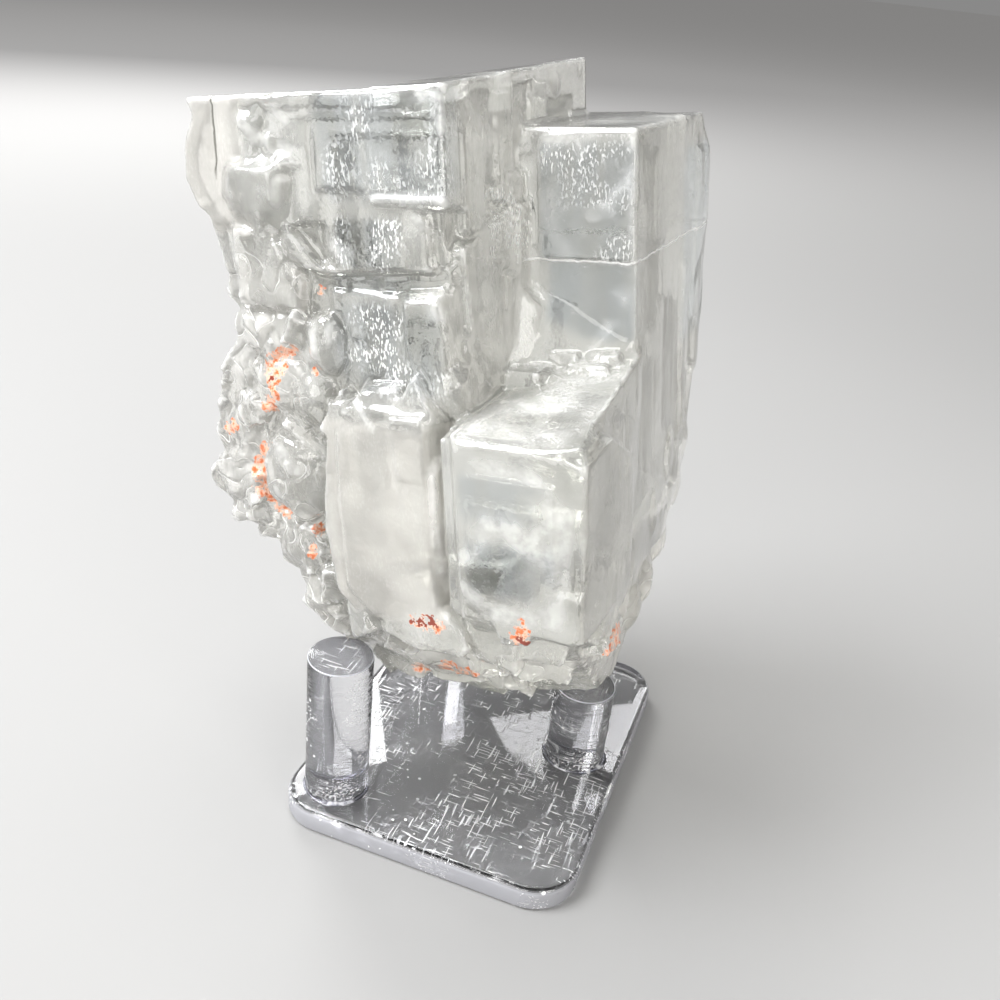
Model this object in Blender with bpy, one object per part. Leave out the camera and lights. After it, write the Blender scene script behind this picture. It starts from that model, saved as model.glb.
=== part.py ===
"""Intergrown stepped cubic crystals, resting on a clear acrylic stand of one plate and three pegs.

Metres, +Z up. The origin is the centre of the plate's underside. The crystals are laid out in
millimetres in a frame of their own: u to the right and v to the back along the cube faces, w up
the long edges. Its zero is the spot where the cluster's lowest corner meets the short peg.
"""

import math
import random

import bmesh
import bpy
from mathutils import Euler, Matrix, Vector

MM = 0.001

# Stand
PLATE_SIZE = (61.5, 78.0, 5.0)
PLATE_CORNER = 9.0
PLATE_TOP_ROUND = 1.6
PLATE_FOOT_ROUND = 0.4
PEG_DIAMETER = 12.7
PEG_CHAMFER = 0.6
PEG_SIDES = 48
TALL_PEG_TOP = 37.0
SHORT_PEG_TOP = 24.0
TALL_PEG_X = -21.4
TALL_PEG_Y = 29.3
SHORT_PEG_XY = (20.5, 1.2)
GAP = 0.3

# Crystal frame on the stand
CRYSTAL_SEAT = (20.7, -1.5, 24.3)
CRYSTAL_TURN = (-1.0, -8.7, -4.5)

# Main faces of the crystals, in the crystal frame
TALL_FRONT = -29.0
TALL_RIGHT = -10.7
TALL_BACK = 30.5
WINDOW_FRONT = -3.3
WINDOW_RIGHT = 10.4
WINDOW_BACK = 41.0
WINDOW_TOP = 110.8
SHELF_TOP = 68.0
SHELF_FRONT = -37.5
SHELF_RIGHT = 14.4
SHELF_LEFT = -11.2
APRON_FRONT = -34.0
APRON_TOP = 68.5

UNION_VOXEL = 1.5
KEPT_FACES = 0.165
SEED = 11


def clear_scene():
    for old in list(bpy.data.objects):
        bpy.data.objects.remove(old, do_unlink=True)


def finish_material(name, color, roughness, transmission, ior):
    material = bpy.data.materials.new(name)
    material.use_nodes = True
    shader = material.node_tree.nodes["Principled BSDF"]
    shader.inputs["Base Color"].default_value = (*color, 1.0)
    shader.inputs["Roughness"].default_value = roughness
    shader.inputs["Metallic"].default_value = 0.0
    shader.inputs["Transmission Weight"].default_value = transmission
    shader.inputs["IOR"].default_value = ior
    return material


def add_object(name, bm, material):
    mesh = bpy.data.meshes.new(name)
    bm.to_mesh(mesh)
    bm.free()
    mesh.materials.append(material)
    obj = bpy.data.objects.new(name, mesh)
    bpy.context.scene.collection.objects.link(obj)
    return obj


# ---------------------------------------------------------------- stand


def plate_outline(size_x, size_y, radius, steps=7):
    points = []
    for quarter, (side_x, side_y) in enumerate(((1, 1), (-1, 1), (-1, -1), (1, -1))):
        centre = (side_x * (size_x / 2 - radius), side_y * (size_y / 2 - radius))
        for step in range(steps + 1):
            angle = math.radians(90 * quarter + 90 * step / steps)
            points.append((centre[0] + radius * math.cos(angle), centre[1] + radius * math.sin(angle)))
    return points


def build_plate(material):
    size_x, size_y, size_z = (side * MM for side in PLATE_SIZE)
    bm = bmesh.new()
    outline = plate_outline(size_x, size_y, PLATE_CORNER * MM)
    base = bm.faces.new([bm.verts.new((x, y, 0.0)) for x, y in outline])
    raised = bmesh.ops.extrude_face_region(bm, geom=[base])["geom"]
    top = [item for item in raised if isinstance(item, bmesh.types.BMVert)]
    bmesh.ops.translate(bm, verts=top, vec=(0.0, 0.0, size_z))
    bmesh.ops.recalc_face_normals(bm, faces=bm.faces)
    upper = [edge for edge in bm.edges if all(vert in top for vert in edge.verts)]
    lower = [edge for edge in bm.edges if not any(vert in top for vert in edge.verts)]
    bmesh.ops.bevel(bm, geom=lower, offset=PLATE_FOOT_ROUND * MM, segments=1, affect="EDGES")
    bmesh.ops.bevel(
        bm, geom=upper, offset=PLATE_TOP_ROUND * MM, segments=3, profile=0.5, affect="EDGES"
    )
    plate = add_object("base_plate", bm, material)
    plate.data.shade_smooth()
    plate.data.set_sharp_from_angle(angle=math.radians(35))
    return plate


def peg_mesh(height):
    """A round peg standing on z = 0, with a small chamfer at both ends."""
    bm = bmesh.new()
    bmesh.ops.create_cone(
        bm,
        cap_ends=True,
        segments=PEG_SIDES,
        radius1=PEG_DIAMETER / 2 * MM,
        radius2=PEG_DIAMETER / 2 * MM,
        depth=height * MM,
        matrix=Matrix.Translation((0.0, 0.0, height / 2 * MM)),
    )
    rims = [edge for edge in bm.edges if abs(edge.verts[0].co.z - edge.verts[1].co.z) < MM / 10]
    bmesh.ops.bevel(bm, geom=rims, offset=PEG_CHAMFER * MM, segments=1, affect="EDGES")
    return bm


def build_peg(name, place, top, material):
    foot = PLATE_SIZE[2] + GAP
    peg = add_object(name, peg_mesh(top - foot), material)
    peg.location = (place[0] * MM, place[1] * MM, foot * MM)
    peg.data.shade_smooth()
    peg.data.set_sharp_from_angle(angle=math.radians(30))
    return peg


def build_stand():
    acrylic = (0.93, 0.93, 0.97)
    plate_look = finish_material("acrylic plate", acrylic, 0.04, 1.0, 1.49)
    build_plate(plate_look)
    pegs = (
        ("peg_tall_front", (TALL_PEG_X, -TALL_PEG_Y), TALL_PEG_TOP),
        ("peg_tall_back", (TALL_PEG_X, TALL_PEG_Y), TALL_PEG_TOP),
        ("peg_short", SHORT_PEG_XY, SHORT_PEG_TOP),
    )
    for name, place, top in pegs:
        build_peg(name, place, top, finish_material(f"acrylic {name}", acrylic, 0.05, 1.0, 1.49))


# ---------------------------------------------------------------- crystals


def hull(bm, points):
    """One closed convex lump through the given corners, in millimetres."""
    corners = [bm.verts.new(Vector(point) * MM) for point in points]
    made = bmesh.ops.convex_hull(bm, input=corners)
    spare = {item for key in ("geom_interior", "geom_unused") for item in made[key]}
    loose = [item for item in spare if isinstance(item, bmesh.types.BMVert)]
    bmesh.ops.delete(bm, geom=loose, context="VERTS")


def block(bm, u, v, w):
    hull(bm, [(a, b, c) for a in u for b in v for c in w])


def prism(bm, outline, front, back, inset=0.0):
    """A convex slab behind a (u, w) outline. inset narrows its front edge into a bevel."""
    mid_u = sum(u for u, _ in outline) / len(outline)
    mid_w = sum(w for _, w in outline) / len(outline)
    points = []
    for u, w in outline:
        reach = max(math.hypot(u - mid_u, w - mid_w), 0.01)
        keep = max(1 - inset / reach, 0.2)
        points.append((mid_u + (u - mid_u) * keep, front, mid_w + (w - mid_w) * keep))
        points.append((u, front + inset, w))
        points.append((u, back, w))
    hull(bm, points)


def stub(bm, rng, centre, size, tilt=35.0):
    """A small broken cube, tilted off the main faces so that a corner stands out."""
    turn = Euler([math.radians(rng.uniform(-tilt, tilt)) for _ in range(3)]).to_matrix()
    half = [size * rng.uniform(0.38, 0.62) for _ in range(3)]
    corners = []
    for a in (-1, 1):
        for b in (-1, 1):
            for c in (-1, 1):
                corner = Vector((a * half[0], b * half[1], c * half[2])) * rng.uniform(0.85, 1.1)
                corners.append(Vector(centre) + turn @ corner)
    hull(bm, corners)


def pebble(bm, centre, radii, corners=48):
    """A rounded, water-worn lump."""
    points = []
    for index in range(corners):
        height = 1 - 2 * (index + 0.5) / corners
        angle = index * math.radians(137.5)
        ring = math.sqrt(1 - height * height)
        swell = 1 + 0.04 * math.sin(5.0 * index)
        way = (ring * math.cos(angle) * swell, ring * math.sin(angle) * swell, height * swell)
        points.append(Vector(centre) + Vector(side * radius for side, radius in zip(way, radii)))
    hull(bm, points)


def tall_top(bm, front, right):
    """The top of the highest crystal, with the leaf at its left end."""
    hull(bm, [
        (-52, front, 117.6), (right, front, 118.5), (right, -20, 118.0), (-52, -20, 116.6),
        (right, front, 101.5), (right, -20, 100), (-54, front, 98.5), (-54, -20, 97),
        (-47, front, 97), (-30, front, 101.5),
    ])
    # the leaf at the left end, with a notch in its edge
    leaf = (
        (-56.8, 115.0), (-50, 116), (-50, 98), (-55.3, 97.9), (-56.6, 98.2), (-58, 100),
        (-59.2, 101.4), (-60.4, 104.6), (-60.0, 108.8), (-58.9, 111.7),
    )
    prism(bm, leaf, front, -22)
    prism(bm, ((-58.0, 117.3), (-50, 117.6), (-50, 110), (-57.0, 114.2)), front, -22)
    # the top falls back to the left in broken terraces
    block(bm, (-53, right - 1), (-24, -6), (88, 115.0))
    block(bm, (-50, right - 1), (-10, 9), (88, 112.6))
    block(bm, (-46, right - 1), (5, 19), (86, 109.0))
    block(bm, (-37, right - 1), (15, 26), (86, 114.2))
    # the right-hand strip of the top stands higher, and rises a little towards the back
    hull(bm, [
        (-23, front, 118.5), (right, front, 118.9), (right, TALL_BACK, 121.0),
        (-12.5, TALL_BACK, 120.9), (-21, front, 108), (right, front, 108), (right, TALL_BACK, 90),
        (-14, TALL_BACK, 90),
    ])


def tall_courses(bm, front, right):
    """The flat front of the highest crystal, stepped back a little at each of its ledges."""
    # first course: a pillowed face, with its upper and right-hand edges rounded over
    face = ((-34.6, 103.2), (-34.0, 116.6), (-32, 118.0), (-12.2, 118.6), (-11.0, 117.4), (-11.0, 103.6))
    prism(bm, face, front - 0.7, -24, inset=0.9)
    block(bm, (-40, right - 1.8), (front + 1.6, 20), (88.5, 103))
    # a lip along the foot of the first course
    hull(bm, [
        (-25, front - 0.1, 103.6), (right - 0.2, front - 0.1, 104.0), (-24, front - 1.3, 102.2),
        (right - 0.1, front - 1.3, 102.2), (-23, front, 101.3), (right - 0.1, front, 101.2),
        (-20, -24, 104), (right - 0.3, -24, 104),
    ])
    # second course, inside the first
    course = (
        (-33.6, 92.4), (-33.9, 99.8), (-32, 100.9), (-16, 101.0), (-14.4, 99.6), (-14.4, 92.6),
        (-24, 91.6),
    )
    prism(bm, course, front - 0.1, -20, inset=0.9)
    block(bm, (-30.9, -19.8), (front - 0.3, -20), (92.6, 98.6))
    # third course
    block(bm, (-38, right - 0.6), (front + 1.8, 20), (60, 92))
    hull(bm, [
        (-36, front - 0.2, 91.2), (-14.5, front - 0.1, 92.5), (-36, front - 0.1, 90.2),
        (-14.5, front, 91.6), (-36, -24, 92), (-12.5, -24, 93), (-36, -24, 89), (-12.5, -24, 90),
    ])
    block(bm, (-34, -12.0), (front + 0.6, 20), (70, 87.4))
    hull(bm, [
        (-30, front + 0.4, 84), (-12.6, front + 0.4, 88.6), (-12.6, front + 0.4, 74),
        (-34, front + 0.4, 76), (-31, front + 0.4, 71), (-30, -22, 84), (-12.6, -22, 88.6),
        (-12.6, -22, 74), (-34, -22, 76), (-31, -22, 71),
    ])


def tall_side(bm, right):
    """The right side of the highest crystal, in courses under a row of knobs."""
    # knobs along the upper side face, leaving hollows between them
    knobs = (
        (-21.5, 112.5, 4.5), (-15.5, 109, 4.0), (-9.5, 113.0, 4.0), (-3.5, 110.5, 3.6), (14, 117.0, 3.2),
    )
    for v, w, tall in knobs:
        pebble(bm, (right - 0.9, v, w), (1.7, 3.0, tall))
    # side courses, each standing out from the one above
    block(bm, (-30, right + 0.7), (-24, -17), (97, 113))
    block(bm, (-30, right + 0.5), (-12, -6), (100, 116.5))
    block(bm, (-30, right + 0.45), (2, 9), (108, 117))
    hull(bm, [
        (-30, -6, 108), (right + 1.0, -6, 98), (right + 1.0, -17.3, 96.2), (right + 1.0, -26.4, 94.6),
        (-30, -28, 93.5), (right + 1.0, 2, 97), (-30, 2, 108), (-30, -27, 72),
        (right + 1.0, -23, 72), (right + 1.2, 2, 66), (-30, 2, 66),
    ])
    block(bm, (-30, right + 2.0), (-12, 2), (66, 88))
    block(bm, (-30, right + 1.5), (-22, -16), (70, 83))


def tall_foot(bm, front):
    """The rounded foot of the highest crystal, hanging over the shelf."""
    hull(bm, [
        (-17, front - 0.5, 73), (-12.5, front - 0.8, 75), (-9.2, -27, 75), (-9, -22, 76),
        (-16, front, 70), (-12, front, 68.4), (-10, -26, 67.8), (-9.4, -20, 67), (-20, -20, 72),
        (-20, front + 2, 80), (-11.5, front - 0.4, 80), (-9.6, -24, 82), (-13.5, front - 1.0, 71),
    ])
    hull(bm, [
        (-9.6, -27, 80), (-8.4, -24, 74), (-8.6, -14, 72), (-9.8, -12, 80), (-9.2, -26, 68.2),
        (-9.0, -16, 67.2), (-14, -26, 76), (-14, -14, 76),
    ])
    lobe = (
        (-19.5, 88), (-12.4, 88.4), (-11.2, 82), (-11.0, 74), (-12.4, 69.6), (-15.4, 69.2),
        (-18.0, 72), (-20, 80),
    )
    prism(bm, lobe, front - 1.4, -24, inset=1.5)
    pebble(bm, (-12.6, -26.6, 72.6), (4.0, 4.6, 5.6))


def tall_crystal(bm):
    """The highest crystal of the group."""
    tall_top(bm, TALL_FRONT, TALL_RIGHT)
    tall_courses(bm, TALL_FRONT, TALL_RIGHT)
    tall_side(bm, TALL_RIGHT)
    tall_foot(bm, TALL_FRONT)


def window_crystal(bm):
    """The tall right-hand crystal, set back, whose front is the large clear face."""
    front, right = WINDOW_FRONT, WINDOW_RIGHT
    hull(bm, [
        (-16, front, WINDOW_TOP), (right - 0.4, front, WINDOW_TOP),
        (right, front + 0.4, WINDOW_TOP - 0.3), (right, 38, WINDOW_TOP),
        (8, WINDOW_BACK, WINDOW_TOP - 0.6), (-16, 35, WINDOW_TOP),
        (right, 43.5, 103), (right, 44.5, 88), (-16, 37, 88), (8, 45.5, 92), (-16, front, 30),
        (right + 0.8, front, 30), (right, 36.5, 52), (right, 33, 42), (-16, 33, 40), (right, 20, 29),
    ])
    # the clear face stands a little proud of the corner beside it
    plate = (
        (-6.3, 89.4), (-6.3, 109.2), (-5.6, 110.2), (right - 0.8, 110.4), (right, 109.6),
        (right, 89.4),
    )
    prism(bm, plate, front - 0.5, 5, inset=0.5)
    lower = ((-6.0, 82), (-3.4, 77), (0, 75), (right - 0.4, 75.4), (right - 0.2, 89.2), (-6.0, 89.2))
    prism(bm, lower, front - 0.35, 5, inset=0.4)
    # upright ribs near the far right-hand edge
    block(bm, (0, right + 0.8), (33, 37.5), (72, 104))
    block(bm, (0, right + 0.7), (26, 29), (50, 84))
    block(bm, (0, right + 0.4), (30, 41), (60, 96))
    # broken corner between the tall crystal's side and the clear face
    block(bm, (-14, -8.6), (-7.5, 2), (80, 99))
    block(bm, (-14, -9.4), (-9, 2), (74, 104))
    # a rough slope fills the corner between the window's foot and the shelf
    hull(bm, [
        (-12, front - 1, 86), (-6.5, front - 1, 83.4), (-3.5, front - 1, 78), (-0.7, front - 1, 75.4),
        (4.4, front - 0.8, 74.4), (9.8, front - 0.6, 75.6), (-12, -13, 71), (-4, -11, 70), (5, -9, 70),
        (9.5, -6, 70), (-12, 4, 86), (9, 4, 74), (-12, 4, 60), (9, 4, 60), (-12, -13, 60), (9, -6, 60),
    ])
    hull(bm, [
        (-12, -8, 87), (-8.4, -8.2, 85.5), (-7.6, -9.6, 78), (-8.6, -13, 71), (-13, -15, 71),
        (-5.6, -6.4, 82), (-5.0, -9.6, 72), (-12, 2, 86), (-5, 2, 78), (-12, 2, 66), (-5, 0, 66),
    ])


def slope_ledges(bm):
    """Small level ledges on the rough slope between the window's foot and the shelf."""
    for u, v, w in (
        ((-5, 4), (-14, -4), (66, 71.8)), ((1, 8), (-11, -3), (66, 73.4)),
        ((-8, -2), (-16, -6), (66, 72.6)), ((4, 9), (-8, -3), (66, 74.6)),
        ((-3, 2), (-9, -3), (66, 74.4)),
    ):
        block(bm, u, v, w)


def shelf_crystal(bm):
    """The low crystal that stands out in front, with a flat top like a shelf."""
    front, left, right = SHELF_FRONT, SHELF_LEFT, SHELF_RIGHT
    hull(bm, [
        (left + 3.4, front, SHELF_TOP - 1.6), (4.5, front, SHELF_TOP - 1.0),
        (right - 5.0, front, SHELF_TOP - 2.0), (right - 3.4, front, SHELF_TOP - 5.0),
        (left + 3.0, front + 1, SHELF_TOP - 0.4), (right - 4, front + 1, SHELF_TOP - 0.4),
        (left + 2, front + 2, SHELF_TOP), (right - 2, front + 2, SHELF_TOP),
        (left, 0, SHELF_TOP + 1.5), (right - 3, 0, SHELF_TOP + 6),
        (left + 3.6, front, 36), (right - 2.4, front, 34.8), (left, 0, 30), (right - 3.5, -5, 27),
        (right - 1.6, -24, 28.5), (left + 3, -28, 28),
    ])
    # the right-hand corner column, rounded off at its top
    hull(bm, [
        (right - 0.4, front + 0.4, SHELF_TOP - 2.4), (right - 4, front + 0.4, SHELF_TOP - 1.6),
        (right - 1, front + 3, SHELF_TOP - 0.4), (right - 6, front + 3, SHELF_TOP),
        (right - 0.6, front + 0.4, 35), (right - 6, front + 0.4, 35), (right - 1, -28, SHELF_TOP),
        (right - 6, -28, SHELF_TOP), (right - 1, -28, 34), (right - 6, -28, 34),
    ])
    # the outer course of its right-hand side
    hull(bm, [
        (right, front + 1, SHELF_TOP - 2.4), (right, -25, SHELF_TOP - 1.4), (right, -14.5, 60),
        (right, -14, 47), (right - 0.4, -13, 34), (right - 0.6, front + 1, 35),
        (0, front + 1, SHELF_TOP - 2.4), (0, -25, SHELF_TOP - 0.4), (0, -14.5, 60), (0, -14, 47),
        (0, -13, 34), (0, front + 1, 35),
    ])
    # the left edge of the front, bevelled back by two small steps
    hull(bm, [
        (left, front + 2.6, 66.5), (left + 5, front + 1.0, 66), (left, front + 2.4, 36),
        (left + 5, front + 1.0, 34), (left, -20, 68.5), (left + 5, -20, 68.5), (left, -20, 30),
        (left + 5, -20, 30),
    ])
    # low steps on the flat top
    block(bm, (-7, 11), (-30, -10), (60, SHELF_TOP + 0.7))
    block(bm, (-6, 9), (-22, -8), (60, SHELF_TOP + 1.7))
    block(bm, (-8.6, 2), (-33, -20), (60, SHELF_TOP + 0.35))
    # thin plates on the front
    block(bm, (-5.5, 9.5), (front - 0.35, -30), (38.5, 62))
    block(bm, (-3.5, 6.0), (front - 0.6, -30), (42, 56))


def apron_crystal(bm):
    """The smooth low crystal at the left front, rounded off at its foot."""
    front = APRON_FRONT
    hull(bm, [
        (-33.5, front + 1, APRON_TOP + 1), (-24, front, APRON_TOP - 3), (-22, front, APRON_TOP + 1),
        (-13.5, front + 1.2, APRON_TOP + 1.5), (-36, front, 46), (-34.5, front, 34), (-28, front + 0.4, 27),
        (-19, front + 0.4, 25.6), (-14.6, front + 0.8, 31), (-38, -20, 66), (-13.5, -20, 72),
        (-38, -20, 30), (-13, -20, 26),
    ])
    panel = (
        (-29.5, 66.4), (-14.4, 69.6), (-13.4, 66), (-13.2, 33), (-17, 29.5), (-27, 29.6), (-32, 35),
        (-32, 60), (-31.4, 65),
    )
    prism(bm, panel, front - 0.7, -20, inset=0.9)
    rib = ((-20.6, 69), (-14.6, 69), (-14.4, 58), (-19.8, 58))
    prism(bm, rib, front - 1.1, -20, inset=0.5)
    # the rounded lobe at its lower right-hand corner
    lobe = (
        (-11.4, 43.2), (-12.0, 38.4), (-14.0, 34.9), (-17.0, 33.2), (-21.5, 32.6), (-25.0, 34.6),
        (-25.6, 40), (-22, 52), (-17, 62), (-12.4, 62),
    )
    prism(bm, lobe, front - 0.8, -20, inset=2.6)
    # three broken points along its upper edge
    for u, w in ((-31.5, 72.0), (-23.5, 73.0), (-17, 76.0)):
        hull(bm, [
            (u, front + 2.0, w), (u - 4.5, front + 0.6, w - 8), (u + 4.0, front + 0.6, w - 7.5),
            (u - 4, -22, w - 8), (u + 4, -22, w - 8), (u, -24, w - 1),
        ])
    hull(bm, [
        (-27.3, front + 2.2, 72.2), (-20.4, front + 2.2, 72.8), (-21.8, front - 0.2, 66.8),
        (-26.6, front - 0.2, 66.2), (-30.2, front, 68.4), (-27, -24, 73), (-20, -24, 73), (-26, -24, 60),
    ])


def lower_body(bm):
    """The broken underside, falling back from the front ledges to the lowest corner."""
    hull(bm, [
        (-44, -22, 98), (-12, -22, 98), (-44, 22, 95), (-12, 26, 95),
        (-48, -22, 40), (-12, -22, 30), (-46, 22, 26), (-12, 30, 30),
    ])
    # under the shelf and down to the corner that sits on the short peg
    hull(bm, [
        (-12, -31, 36), (11, -31, 35), (-12, -28, 26), (9, -26, 26), (7, -4, 16), (7.5, 8, 16),
        (8, 18, 22), (-12, 26, 22), (4.5, -4, 4), (4, 7, 0.5), (-8, 8, 2), (-7, -6, 2.2),
        (-14, -7, 0.5), (-18, 4, 3), (10, 28, 36), (10, 0, 60),
    ])
    # left-hand keel between the tall pegs
    hull(bm, [
        (-12, -31, 29), (-33, -31.5, 31), (-44.2, -24.4, 27), (-41.8, -24.4, 19.4), (-31, -25.5, 18.8),
        (-22, -26, 16.4), (-12, -23, 15.2), (-39, -14, 6.4), (-26, -13, 6.2), (-14, -8, 0.2), (-30, 2, 5),
        (-40, 8, 10), (-14, 8, 4), (-42, 17, 20), (-14, 20, 18), (-46, -16, 36), (-12, 0, 50),
    ])
    # heel that rests on the hidden tall peg
    hull(bm, [
        (-49, 18, 20.6), (-34, 18, 20.2), (-49, 30, 24), (-34, 31, 22), (-48, 28, 45), (-20, 30, 50),
        (-46, 14, 60), (-20, 14, 30), (-20, 30, 26),
    ])
    block(bm, (-34, 4), (10, 33), (36, 88))


def flank_edge(w):
    """How far the broken left edge reaches at the height w."""
    edge = (
        (20, -40.5), (24, -44), (32, -47), (38, -51), (40, -56), (48, -64), (60, -62), (70, -59),
        (78, -55), (98, -56),
    )
    for (low, start), (high, end) in zip(edge[:-1], edge[1:]):
        if w <= high:
            return start + (end - start) * (w - low) / (high - low)
    return edge[-1][1]


def flank_flakes(bm, rng):
    """The body of the ragged left side, and flakes whose broken corners make its outline."""
    hull(bm, [
        (-51, -26, 95), (-34, -26, 95), (-49, -26, 74), (-34, -27, 70), (-47, 14, 92), (-34, 14, 92),
        (-54, -25, 64), (-56, -24, 50), (-52, -24, 41), (-34, -28, 38), (-50, 14, 44), (-34, 14, 40),
        (-47, -24, 34), (-38, -26, 30),
    ])
    flakes = (
        ((-57.0, 97.8), (-55.5, 94.9), (-54.8, 91.8), (-55.0, 88.1), (-46, 87), (-46, 99)),
        ((-55.0, 89.0), (-56.3, 86.0), (-55.6, 84.6), (-54.2, 82.6), (-46, 81), (-46, 89)),
        ((-54.2, 83.0), (-55.3, 80.5), (-55.0, 76.6), (-46, 75), (-46, 83)),
        ((-55.0, 77.2), (-56.5, 74.1), (-59.4, 71.8), (-59.1, 71.1), (-46, 68), (-46, 77)),
        ((-59.1, 71.3), (-59.7, 68.5), (-60.4, 68.1), (-60.1, 66.5), (-46, 65), (-46, 71.5)),
        ((-60.1, 67.2), (-61.3, 63.8), (-61.9, 61.1), (-62.6, 58.8), (-61.1, 55.5), (-47, 54), (-47, 67)),
        ((-61.1, 56.0), (-63.7, 52.6), (-63.0, 50.0), (-50, 50), (-50, 56)),
        ((-64.6, 51.6), (-65.7, 50.8), (-65.7, 49.2), (-65.0, 47.6), (-62.2, 45.4), (-50, 44), (-50, 52)),
        ((-62.4, 46.2), (-61.8, 43.9), (-62.7, 40.6), (-57.8, 40.6), (-54.8, 42.9), (-48, 46)),
        ((-55.2, 43.4), (-56.7, 40.2), (-56.0, 38.5), (-51.0, 37.9), (-46, 39), (-46, 45)),
        ((-51.0, 38.6), (-50.9, 34.4), (-46.8, 33.0), (-42, 33), (-42, 40)),
        ((-47.2, 34.0), (-47.9, 31.9), (-46.5, 29.0), (-41, 28), (-41, 34)),
        ((-46.5, 29.6), (-48.1, 26.0), (-44.7, 24.6), (-40.6, 20.4), (-37, 20), (-37, 30)),
    )
    for outline in flakes:
        front = rng.uniform(-28.6, -27.6)
        prism(bm, outline, front, -22, inset=rng.uniform(0.5, 1.1))
        shrunk = [(u + 2.5, w - 0.5) for u, w in outline]
        prism(bm, shrunk, -24, -15)


def flank_lumps(bm, rng):
    """Smooth worn lumps on the front of the left side."""
    hull(bm, [
        (-50.4, -29, 108.2), (-39.3, -29, 108.6), (-38.6, -29, 105.1), (-40.1, -29, 99.4),
        (-44.3, -29, 95.4), (-49.9, -29, 97.6), (-53.2, -29, 102.3), (-52.2, -29, 106.4),
        (-48.6, -31.8, 106.6),
        (-41.6, -31.9, 106.2), (-41.4, -31.6, 102.0), (-44.6, -31.4, 98.8), (-50.4, -31.2, 102.4),
        (-50, -24, 108), (-39, -24, 108), (-44, -24, 96), (-52.6, -24, 102),
    ])
    for _ in range(16):
        place = (rng.uniform(-46.5, -38.5), -28.3, rng.uniform(104, 114.5))
        stub(bm, rng, place, rng.uniform(1.8, 3.0), tilt=45)
    column = (
        (-51.6, 97.6), (-45.0, 98.2), (-41.0, 94.4), (-38.6, 88.6), (-39.6, 84.2), (-52.2, 83.2),
        (-52.0, 90),
    )
    prism(bm, column, -30.2, -24, inset=1.2)
    ridge = ((-41.2, 98.3), (-38.4, 93.9), (-34.6, 91.0), (-37.5, 90.4), (-42, 94))
    prism(bm, ridge, -29.6, -24, inset=0.6)
    prism(bm, ((-52.4, 82.6), (-46.4, 83.0), (-46.0, 76), (-52.0, 76.4)), -29.8, -24, inset=0.8)
    prism(bm, ((-45.6, 82.8), (-42.2, 83.0), (-41.6, 77.4), (-45.0, 76.2)), -29.2, -24, inset=0.8)
    pebble(bm, (-34.9, -28.6, 78.4), (3.5, 3.2, 5.6))
    pebble(bm, (-40.4, -28.0, 80.4), (2.4, 3.0, 3.6))
    pebble(bm, (-43.8, -28.6, 53.4), (7.6, 4.6, 9.0))
    pebble(bm, (-44, -27.6, 70), (7.0, 3.6, 6.0))
    pebble(bm, (-38.2, -28.4, 69), (4.2, 3.6, 5.0))
    pebble(bm, (-54.5, -26.4, 61.5), (6.0, 3.2, 6.0))
    pebble(bm, (-56.5, -26.2, 49.2), (7.0, 3.4, 5.4))
    pebble(bm, (-44.5, -27.4, 38.5), (6.0, 3.6, 5.0))
    pebble(bm, (-42.4, -27.4, 29.5), (3.6, 3.4, 6.0))


def flank_corners(bm, rng):
    """Small broken corners over the left side, and larger ones further back."""
    for _ in range(70):
        w = rng.uniform(26, 82)
        u = rng.uniform(flank_edge(w) + 4.5, -38)
        stub(bm, rng, (u, rng.uniform(-28.4, -26.8), w), rng.uniform(2.4, 4.8), tilt=45)
    for row in range(15):
        w = 94 - row * 4.6
        reach = -47 - 9 * math.exp(-((w - 54) / 16) ** 2)
        for depth in (-18, -9, 0, 9):
            u = reach + rng.uniform(0, 4) + (depth + 18) * 0.18
            v = depth + rng.uniform(-3, 3)
            stub(bm, rng, (u, v, w + rng.uniform(-2, 2)), rng.uniform(6.5, 10))


def left_flank(bm, rng):
    """The ragged left side of the group."""
    flank_flakes(bm, rng)
    flank_lumps(bm, rng)
    flank_corners(bm, rng)


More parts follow.
